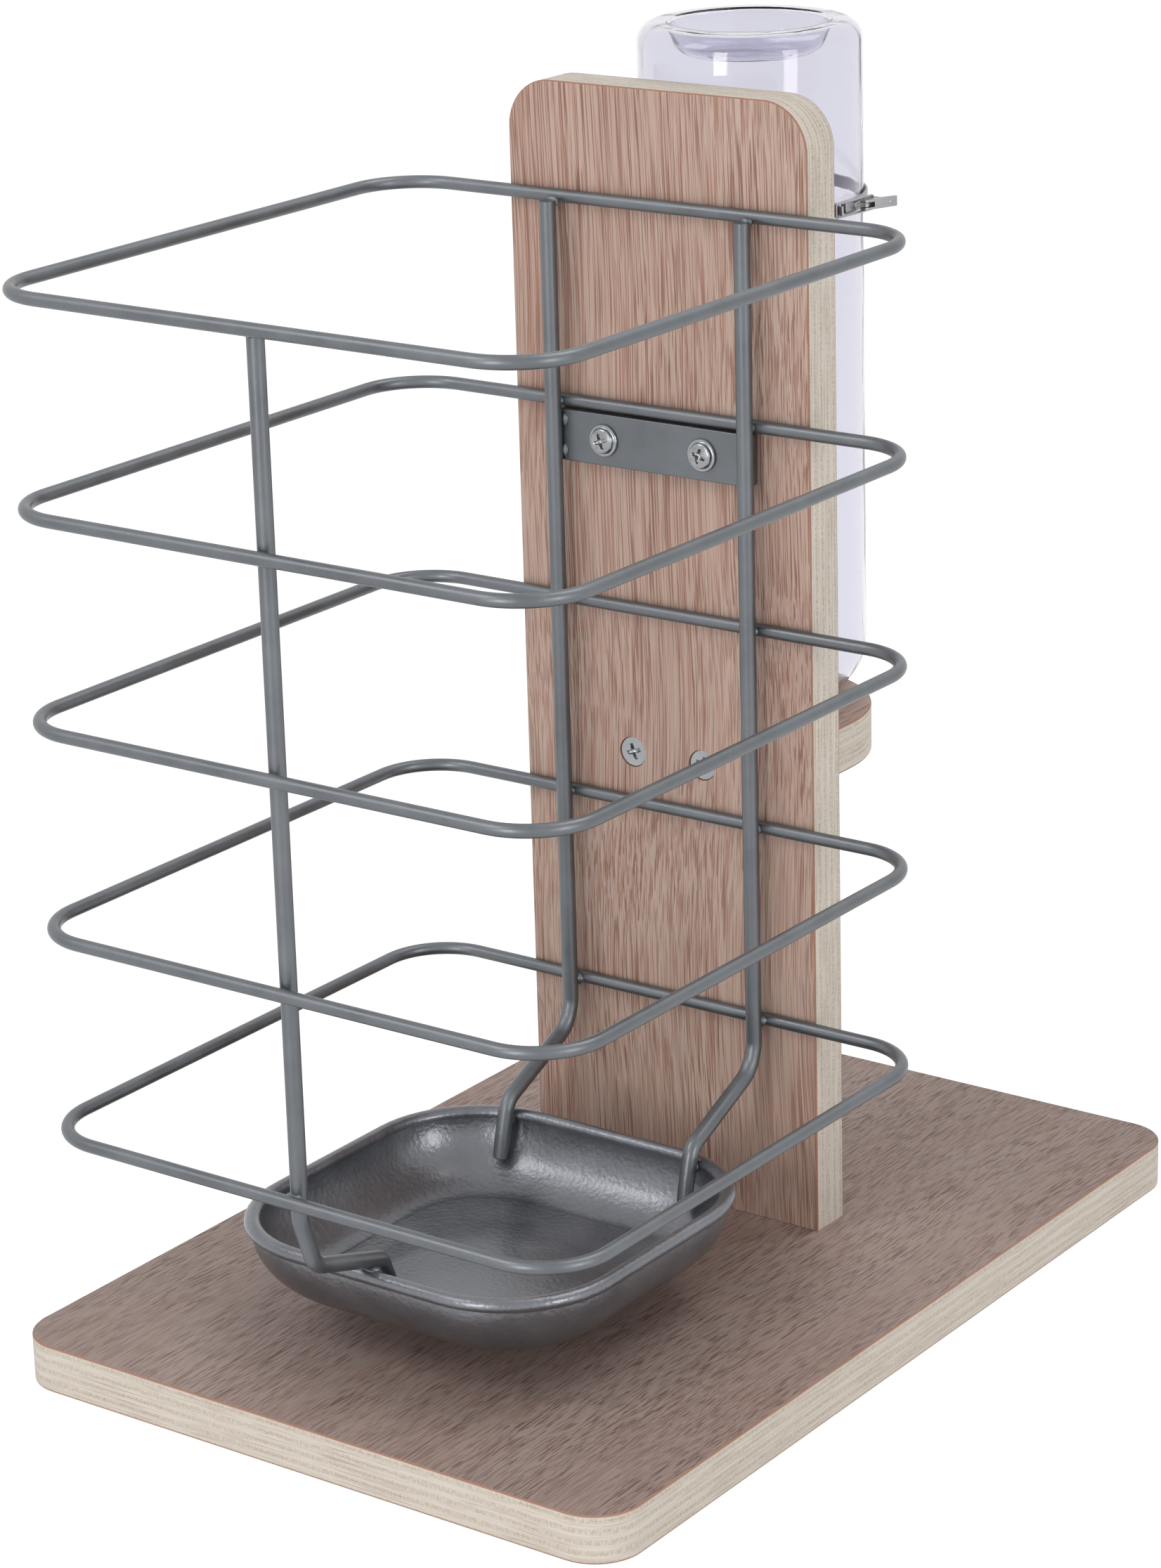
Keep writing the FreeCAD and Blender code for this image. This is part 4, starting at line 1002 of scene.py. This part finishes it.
@dataclass
class Tray:
    """The pressed tray: flat floor, curved wall and a rolled bead round the rim."""

    wall: float = 1.2 * MM
    bead: float = 2.2 * MM
    slope: float = 16.5 * MM
    corner: float = 36.0 * MM
    corner_shrink: float = 0.6
    coined: float = 0.35 * MM
    steps: int = 26
    floor_run: float = 14 * MM

    def wall_rows(self, inset: float, foot: float, top: float) -> Array:
        """Give (inset, height) rows up a wall whose slope left is (1 - rise^0.7)^1.87."""
        rise = np.linspace(0, 1, self.steps) ** 1.6
        spread = (1 - rise ** 0.7) ** 1.87
        return np.stack([inset + spread * self.slope, foot + rise * (top - foot)], axis=1)

    def build(self, finish: Material) -> None:
        """Carry the tray's profile round a rounded rectangle that shrinks with the inset."""
        low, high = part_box("tray")
        half = (high - low) / 2
        centre = middle("tray")
        bead_z = high.z - self.bead
        edge = self.bead - self.wall / 2
        outer = self.wall_rows(edge, low.z, bead_z - 0.8 * self.bead)
        inner = self.wall_rows(edge + self.wall, low.z + self.wall, bead_z - 0.2 * self.bead)[::-1]
        angles = np.linspace(-0.42 * np.pi, 1.12 * np.pi, 22)
        roll = np.stack([self.bead - self.bead * np.cos(angles), bead_z + self.bead * np.sin(angles)], axis=1)
        floor_out = np.array([[self.floor_run, low.z], [1.5 * MM, low.z]]) + [edge + self.slope, 0]
        crease = np.array([[0.0, 0.0], [1.1 * MM, -self.coined], [self.floor_run, -self.coined]])
        floor_in = crease + [edge + self.slope + 0.4 * MM + self.wall, low.z + self.wall]
        rows = np.concatenate([floor_out, outer, roll, inner, floor_in])
        rings = []
        for inset, height in rows:
            corner = self.corner - self.corner_shrink * inset
            flat = rounded_outline(half.x - inset, half.y - inset, corner, 14, 6)
            rings.append(np.column_stack([flat, np.full(len(flat), height)]))
        points = np.array(rings) + np.array([centre.x, centre.y, 0])
        tray = make_piece("pressed_tray", [Patch(points, cap_ends=True)], 50)
        dress(tray, Body.STAND, Slot.TRAY, finish, "tray")


# ---------------------------------------------------------------- bottle


@dataclass(frozen=True)
class ClearPlasticFinish:
    """Clear blown plastic with a faint tint and a slightly wavy skin."""

    name: str
    tint: Triple = (0.815, 0.810, 0.868)

    def make(self) -> Material:
        """Wire a clear shell whose bump is broad waves and faint fine marks."""
        bench = NodeBench(self.name)
        bench.set(Base_Color=(*self.tint, 1.0), Roughness=0.03, IOR=1.32, Transmission_Weight=1.0)
        waves = bench.noise(bench.stretch(2, 14.0, 60.0), 1.0, 2.0)
        marks = bench.noise(bench.stretch(2, 120.0, 500.0), 1.0, 3.0, 0.6)
        bench.bump(bench.sums("MULTIPLY_ADD", marks, 0.06, waves), 0.5, 0.0006)
        return bench.material


@dataclass(frozen=True)
class MouldedFinish:
    """Moulded plastic or rubber: fine grain, slightly uneven gloss, a few pale scuffs."""

    name: str
    colour: Triple
    roughness: float = 0.5
    grain: float = 3000.0

    def make(self) -> Material:
        """Wire the grain into bump, and scuffs into colour and gloss."""
        bench = NodeBench(self.name)
        grain = bench.noise(bench.place, self.grain, 2.0, 0.5)
        scuff = bench.between(bench.noise(bench.stretch(2, 600.0, 90.0), 1.0, 4.0, 0.7), 0.60, 0.72)
        pale = tuple(min(1.0, c * 1.5 + 0.02) for c in self.colour)
        bench.set(Base_Color=bench.blend(bench.sums("MULTIPLY", scuff, 0.5), self.colour, pale),
                  Roughness=bench.between(grain, 0.2, 0.8, self.roughness - 0.08, self.roughness + 0.1))
        bench.bump(grain, 0.25, 0.00015)
        return bench.material


@dataclass
class WaterBottle:
    """The clear bottle on its shoulder, and the cap, seal, tube and ball under the shelf."""

    radius: float = 34.2 * MM
    wall: float = 0.9 * MM
    shoulder: float = 19.0 * MM
    heel: float = 6.2 * MM
    punt: float = 21.0 * MM
    punt_rise: float = 9.0 * MM
    punt_fillet: float = 4.0 * MM
    standing: float = 3.0 * MM
    standing_round: float = 1.2 * MM
    neck: float = 12.4 * MM
    neck_wall: float = 2.0 * MM
    neck_length: float = 22.0 * MM
    neck_fillet: float = 1.5 * MM
    thread_gap: float = 0.3 * MM
    cap_floor: float = 1.6 * MM
    ribs: int = 48
    tube: float = 4.0 * MM
    tube_wall: float = 1.0 * MM
    tube_bend: float = 12.0 * MM
    lean_degrees: float = 30.0
    lip: float = 2.4 * MM
    collar_height: float = 1.0 * MM
    axis: Vector = field(init=False)

    def __post_init__(self) -> None:
        """Find the bottle's axis."""
        self.axis = Vector((0, middle("bottle").y, 0))

    def on_axis(self, points: Array) -> Array:
        """Move points from the Z axis to the bottle's axis."""
        return points + np.array(self.axis)

    def shell(self, finish: Material) -> None:
        """Turn the bottle's closed profile, outside up to the crown and inside back down to the mouth."""
        mouth, top = (corner.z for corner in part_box("bottle"))
        foot = mouth + self.neck_length
        crown = top - self.punt_rise
        wall = self.wall
        corners = np.array([
            (self.neck, mouth), (self.neck, foot), (self.radius, foot), (self.radius, top),
            (self.punt + self.standing, top), (self.punt, crown), (0, crown)])
        radii = [self.neck_fillet, self.shoulder, self.heel, self.standing_round, self.punt_fillet]
        inside = np.array([
            (0, crown - wall), (self.punt + wall, crown - wall),
            (self.punt + self.standing + wall / 2, top - wall), (self.radius - wall, top - wall),
            (self.radius - wall, foot + wall), (self.neck - self.neck_wall, foot + wall),
            (self.neck - self.neck_wall, mouth)])
        inner_radii = [self.punt_fillet + wall, self.standing_round, self.heel - wall, self.shoulder - wall,
                       self.neck_fillet]
        rows = np.concatenate([bent_path(corners, radii, 14), bent_path(inside, inner_radii, 14)])
        piece = make_piece("clear_bottle", [Patch(self.on_axis(lathe(rows, 120)), wrap_rows=True)], 60)
        dress(piece, Body.BOTTLE, Slot.BOTTLE, finish, "bottle")

    def cap(self, finish: Material) -> None:
        """Turn the cap and press grip ribs into its side: radius falls by a raised cosine of the angle."""
        low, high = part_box("bottle_cap")
        outer = high.x
        inner = self.neck + self.thread_gap
        floor = low.z + self.cap_floor
        hole = self.tube + 0.05 * MM
        corners = np.array([(hole, low.z), (outer, low.z), (outer, high.z), (inner, high.z), (inner, floor),
                            (hole, floor)])
        rows = refine_profile(bent_path(corners, [0.9 * MM, 0.5 * MM, 0.3 * MM, 0.3 * MM], 6), 0.8 * MM)
        count = self.ribs * 6
        points = lathe(rows, count)
        angles = turns(count)
        lift = smooth_step(rows[:, 1], low.z + 1.2 * MM, low.z + 2.4 * MM)
        lift *= 1 - smooth_step(rows[:, 1], high.z - 2.6 * MM, high.z - 1.6 * MM)
        lift *= rows[:, 0] > outer - 0.05 * MM
        groove = 0.35 * MM * (0.5 + 0.5 * np.cos(self.ribs * angles)) ** 2
        shrink = 1 - lift[:, None] * groove[None] / outer
        points[:, :, :2] *= shrink[:, :, None]
        piece = make_piece("ribbed_cap", [Patch(self.on_axis(points), wrap_rows=True)], 50)
        dress(piece, Body.CAP, Slot.CAP, finish, "bottle_cap")

    def seal(self, finish: Material) -> None:
        """Turn the soft washer, its sides bulging a little."""
        low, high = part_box("cap_seal")
        hole = self.tube + 0.05 * MM
        corners = np.array([(hole, low.z), (high.x, low.z), (high.x, high.z), (hole, high.z), (hole, low.z)])
        rows = bent_path(corners, [0.5 * MM, 0.5 * MM, 0.4 * MM], 6)
        piece = make_piece("soft_seal", [Patch(self.on_axis(lathe(rows, 72)))], 50)
        dress(piece, Body.CAP, Slot.SEAL, finish, "cap_seal")

    def spout(self, finish: Material, ball_finish: Material) -> None:
        """Sweep the bent tube, outside down and inside back up, with its narrowed lip, and set the ball."""
        low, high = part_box("drinking_tube")
        lean = math.radians(self.lean_degrees)
        down = Vector((0, math.sin(lean), -math.cos(lean)))
        end = Vector((0, high.y - self.tube * math.cos(lean), low.z + self.tube * math.sin(lean)))
        knee = end - down * ((end.y - self.axis.y) / down.y)
        corners = np.array([(0, self.axis.y, high.z), tuple(knee), tuple(end)])
        path = refine(bent_path(corners, [self.tube_bend], 16), 3 * MM)
        to_end = left_to_end(path)
        outside = self.tube - 0.45 * MM * (1 - np.clip(to_end / (1.5 * MM), 0, 1)) ** 2
        bore = self.tube - self.tube_wall
        inside = bore - (bore - self.lip) * (to_end < 1.0 * MM)
        disc = disc_section(1.0, 40)
        outer = sweep(path, disc[None] * outside[:, None, None], RIGHT)
        inner = sweep(path, disc[None] * inside[:, None, None], RIGHT)[::-1]
        root, under = self.tube * 0.98, high.z - self.collar_height
        collar_rows = np.array([(root, under), (high.x, under), (high.x, high.z), (root, high.z)])
        patches = [Patch(np.concatenate([outer, inner]), wrap_rows=True),
                   Patch(self.on_axis(lathe(collar_rows, 72)), wrap_rows=True)]
        dress(make_piece("steel_spout", patches, 40), Body.CAP, Slot.TUBE, finish, "drinking_tube")
        centre = np.array(middle("valve_ball"))
        ball = make_piece("steel_ball", [Patch(extent("valve_ball").x / 2 * ball_grid(40, 25) + centre)])
        dress(ball, Body.BALL, Slot.BALL, ball_finish, "valve_ball")

    def build(self) -> None:
        """Build the bottle and its drinking end."""
        self.shell(ClearPlasticFinish("clear_plastic").make())
        self.cap(MouldedFinish("cap_moulding", (0.030, 0.031, 0.034), 0.42).make())
        self.seal(MouldedFinish("seal_rubber", (0.30, 0.055, 0.040), 0.6, 1800.0).make())
        self.spout(SatinMetalFinish("spout_steel", (0.55, 0.56, 0.57), 0.22, 1.0, 0.08, 900.0).make(),
                   SatinMetalFinish("ball_steel", (0.62, 0.63, 0.64), 0.12, 1.0, 0.04, 900.0).make())


# ---------------------------------------------------------------- clamp


@dataclass
class Clamp:
    """The spring band round the bottle, its bracket and its over-centre latch."""

    opening_degrees: float = -7.0
    span_degrees: float = 3.0
    soft: float = 0.2 * MM
    lever_degrees: float = 73.0
    pivot_reach: float = 38.4 * MM
    pivot_degrees: float = 7.0
    rivet_degrees: float = -22.0
    rivet_reach: float = 36.0 * MM
    rivet_radius: float = 0.95 * MM
    rivet_height: float = 0.55 * MM
    sunk: float = 0.1 * MM
    thick: float = 0.8 * MM
    strip_round: float = 0.38 * MM
    mark_reach: float = 8.6 * MM
    mark_lift: float = 2.13 * MM
    mark_size: Triple = (1.25 * MM, 0.75 * MM, 0.28 * MM)
    bevel_degrees: float = 40.0
    axis_y: float = field(init=False)
    level: float = field(init=False)

    def __post_init__(self) -> None:
        """Find the clamp's axis and height."""
        self.axis_y = middle("bottle").y
        self.level = middle("clamp_band").z

    def band(self, finish: Material) -> None:
        """Sweep a flat strip with rolled edges round the bottle, open at the latch."""
        low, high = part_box("clamp_band")
        radius = -low.x - self.thick / 2
        start = math.radians(self.opening_degrees + self.span_degrees / 2)
        angles = np.linspace(start, start + math.radians(360 - self.span_degrees), 180)
        path = np.stack([radius * np.cos(angles), self.axis_y + radius * np.sin(angles),
                         np.full(len(angles), self.level)], axis=1)
        section = rounded_outline(self.thick / 2, (high.z - low.z) / 2, self.strip_round, 6, 3)
        points = sweep(path, section, UP)
        dress(make_piece("spring_band", [Patch(points, cap_ends=True)], 50), Body.STAND, Slot.CLAMP, finish,
              "clamp_band")

    def softened(self, node: str, body: Body, finish: Material) -> Piece:
        """Copy a plain solid, merge it, round its edges and dress it."""
        source = next(item for item in bpy.data.objects if item.get("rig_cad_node") == node)
        mesh = source.data.copy()
        mesh.materials.clear()
        work = bmesh.new()
        work.from_mesh(mesh)
        bmesh.ops.remove_doubles(work, verts=work.verts, dist=1e-6)
        bmesh.ops.dissolve_limit(work, angle_limit=math.radians(1.0), verts=work.verts, edges=work.edges)
        work.to_mesh(mesh)
        work.free()
        shade(mesh, self.bevel_degrees)
        piece = bpy.data.objects.new(f"{node}_soft", mesh)
        bpy.context.scene.collection.objects.link(piece)
        bevel = piece.modifiers.new("rolled_edges", "BEVEL")
        bevel.width = self.soft
        bevel.segments = 2
        bevel.limit_method = "ANGLE"
        bevel.angle_limit = math.radians(self.bevel_degrees)
        bevel.use_clamp_overlap = True
        return dress(piece, body, Slot.CLAMP, finish, node)

    def rivet(self, finish: Material) -> None:
        """Turn the domed head of the rivet that holds the strike's strip to the band."""
        turn = math.radians(self.rivet_degrees)
        outward = Vector((math.cos(turn), math.sin(turn), 0))
        angles = np.linspace(0, np.pi / 2, 8)
        dome = np.stack([self.rivet_radius * np.cos(angles), self.rivet_height * np.sin(angles)], axis=1)
        rows = np.concatenate([[[0, -self.sunk], [self.rivet_radius, -self.sunk]], dome])
        head = make_piece("strike_rivet", [Patch(lathe(rows, 32))])
        at = Vector((0, self.axis_y, self.level)) + outward * self.rivet_reach
        head.data.transform(aimed(at, outward))
        dress(head, Body.STAND, Slot.CLAMP, finish)

    def lever_mark(self, finish: Material) -> None:
        """Press an oval bead on the lever's outer face near its tip, as half of a flat ellipsoid."""
        turn, start = math.radians(self.lever_degrees), math.radians(self.pivot_degrees)
        along = np.array([math.cos(turn), math.sin(turn), 0])
        outward = np.array([math.sin(turn), -math.cos(turn), 0])
        pivot = np.array([self.pivot_reach * math.cos(start), self.axis_y + self.pivot_reach * math.sin(start),
                          self.level])
        at = pivot + along * self.mark_reach + outward * self.mark_lift
        points = at + (ball_grid(28) * self.mark_size) @ np.stack([along, UP, outward])
        dress(make_piece("lever_bead", [Patch(points)], 60), Body.LEVER, Slot.CLAMP, finish)

    def build(self) -> None:
        """Build the band, the bracket and the latch's parts."""
        nickel = SatinMetalFinish("satin_nickel", (0.34, 0.335, 0.345), 0.34, 1.0, 0.10, 700.0).make()
        self.band(nickel)
        for node in ("clamp_bracket", "latch_base", "latch_pin", "latch_strike"):
            self.softened(node, Body.STAND, nickel)
        self.softened("latch_lever", Body.LEVER, nickel)
        self.softened("latch_loop", Body.LOOP, nickel).modifiers.clear()
        self.lever_mark(nickel)
        self.rivet(nickel)


# ---------------------------------------------------------------- stage


@dataclass
class Studio:
    """Camera, lamps, white world and floor."""

    eye: Triple = (0.7381, -1.0177, 0.5858)
    turn_degrees: float = 36.32
    lift_degrees: float = 18.60
    roll_degrees: float = -1.62
    lens: float = 100.49
    sensor: float = 36.0
    ambient: float = 0.58
    glow_share: float = 0.70
    glow: float = 1.2
    aim: Triple = (0, 0, 0.18)
    floor_half: float = 8.0
    floor_drop: float = 0.2 * MM

    def camera(self) -> None:
        """Set the camera from its heading, lift and roll."""
        turn, lift, roll = (math.radians(a) for a in (self.turn_degrees, self.lift_degrees, self.roll_degrees))
        back = Vector((math.sin(turn) * math.cos(lift), -math.cos(turn) * math.cos(lift), math.sin(lift)))
        right = (-back).cross(Vector((0, 0, 1))).normalized()
        up = right.cross(-back)
        rolled = right * math.cos(roll) + up * math.sin(roll)
        raised = up * math.cos(roll) - right * math.sin(roll)
        data = bpy.data.cameras.new("camera")
        data.lens = self.lens
        data.sensor_width = self.sensor
        data.sensor_fit = "AUTO"
        data.clip_start = 0.05
        data.clip_end = 30.0
        camera = bpy.data.objects.new("camera", data)
        facing = Matrix((rolled, raised, back)).transposed().to_4x4()
        camera.matrix_world = Matrix.Translation(Vector(self.eye)) @ facing
        bpy.context.scene.collection.objects.link(camera)
        bpy.context.scene.camera = camera

    def lamp(self, name: str, at: Triple, width: float, height: float, power: float) -> None:
        """Hang a rectangular soft lamp that looks at the stand's middle."""
        data = bpy.data.lights.new(name, "AREA")
        data.shape = "RECTANGLE"
        data.size = width
        data.size_y = height
        data.energy = power
        lamp = bpy.data.objects.new(name, data)
        look = (Vector(self.aim) - Vector(at)).to_track_quat("-Z", "Y").to_matrix().to_4x4()
        lamp.matrix_world = Matrix.Translation(Vector(at)) @ look
        bpy.context.scene.collection.objects.link(lamp)

    def world(self) -> None:
        """Make a white world that lights softly but looks fully white."""
        world = bpy.data.worlds.new("white_room")
        world.use_nodes = True
        wiring = Wiring(world.node_tree)
        strength = wiring.add("MapRange", {"Value": wiring.seen_directly(), "To Min": self.ambient, "To Max": 1.0})
        ground = world.node_tree.nodes["Background"].inputs
        wiring.join(ground["Color"], (1, 1, 1, 1))
        wiring.join(ground["Strength"], strength.outputs["Result"])
        bpy.context.scene.world = world

    def floor(self) -> None:
        """Lay a white floor that partly glows for the rays that see it, so that it keeps a soft shadow."""
        corners = self.floor_half * np.array([[-1, -1, 0], [1, -1, 0], [1, 1, 0], [-1, 1, 0]])
        mesh = bpy.data.meshes.new("floor")
        mesh.from_pydata((corners - [0, 0, self.floor_drop]).tolist(), [], [[0, 1, 2, 3]])
        floor = bpy.data.objects.new("floor", mesh)
        bpy.context.scene.collection.objects.link(floor)
        material = bpy.data.materials.new("white_floor")
        material.use_nodes = True
        material.node_tree.nodes.clear()
        wiring = Wiring(material.node_tree)
        plain = wiring.add("BsdfDiffuse", {"Color": (0.93, 0.93, 0.93, 1)})
        glow = wiring.add("Emission", {"Strength": self.glow})
        share = wiring.sums("MULTIPLY", wiring.seen_directly(), self.glow_share)
        mix = wiring.add("MixShader", {"Fac": share, 1: plain.outputs["BSDF"], 2: glow.outputs["Emission"]})
        wiring.add("OutputMaterial", {"Surface": mix.outputs["Shader"]})
        floor.data.materials.append(material)

    def build(self) -> None:
        """Set the whole stage."""
        self.camera()
        self.world()
        self.floor()
        self.lamp("key", (-0.9, -1.3, 1.8), 0.9, 0.9, 12.0)
        self.lamp("front", (0.15, -2.1, 0.56), 0.46, 1.1, 14.0)
        self.lamp("fill", (1.95, -0.42, 0.56), 0.46, 1.1, 10.0)
        self.lamp("top", (0.5, 0.8, 2.1), 1.0, 1.0, 11.0)
        bpy.context.scene.view_settings.view_transform = "Standard"


def main() -> None:
    """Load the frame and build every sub-assembly."""
    logging.basicConfig(level=logging.INFO, format="%(name)s %(message)s")
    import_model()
    Studio().build()
    screws = ScrewSet()
    Woodwork().build(screws)
    screws.build(SatinMetalFinish("bright_zinc", (0.34, 0.35, 0.36), 0.20, 1.0, 0.1, 900.0).make())
    wire = SatinMetalFinish("satin_wire", (0.150, 0.161, 0.173), 0.42, 0.80, 0.14, 500.0, 0.15).make()
    Basket().build(wire)
    Tray().build(SatinMetalFinish("tray_coat", (0.178, 0.184, 0.202), 0.34, 0.80, 0.60, 650.0, 0.35).make())
    WaterBottle().build()
    Clamp().build()


if __name__ == "__main__":
    main()
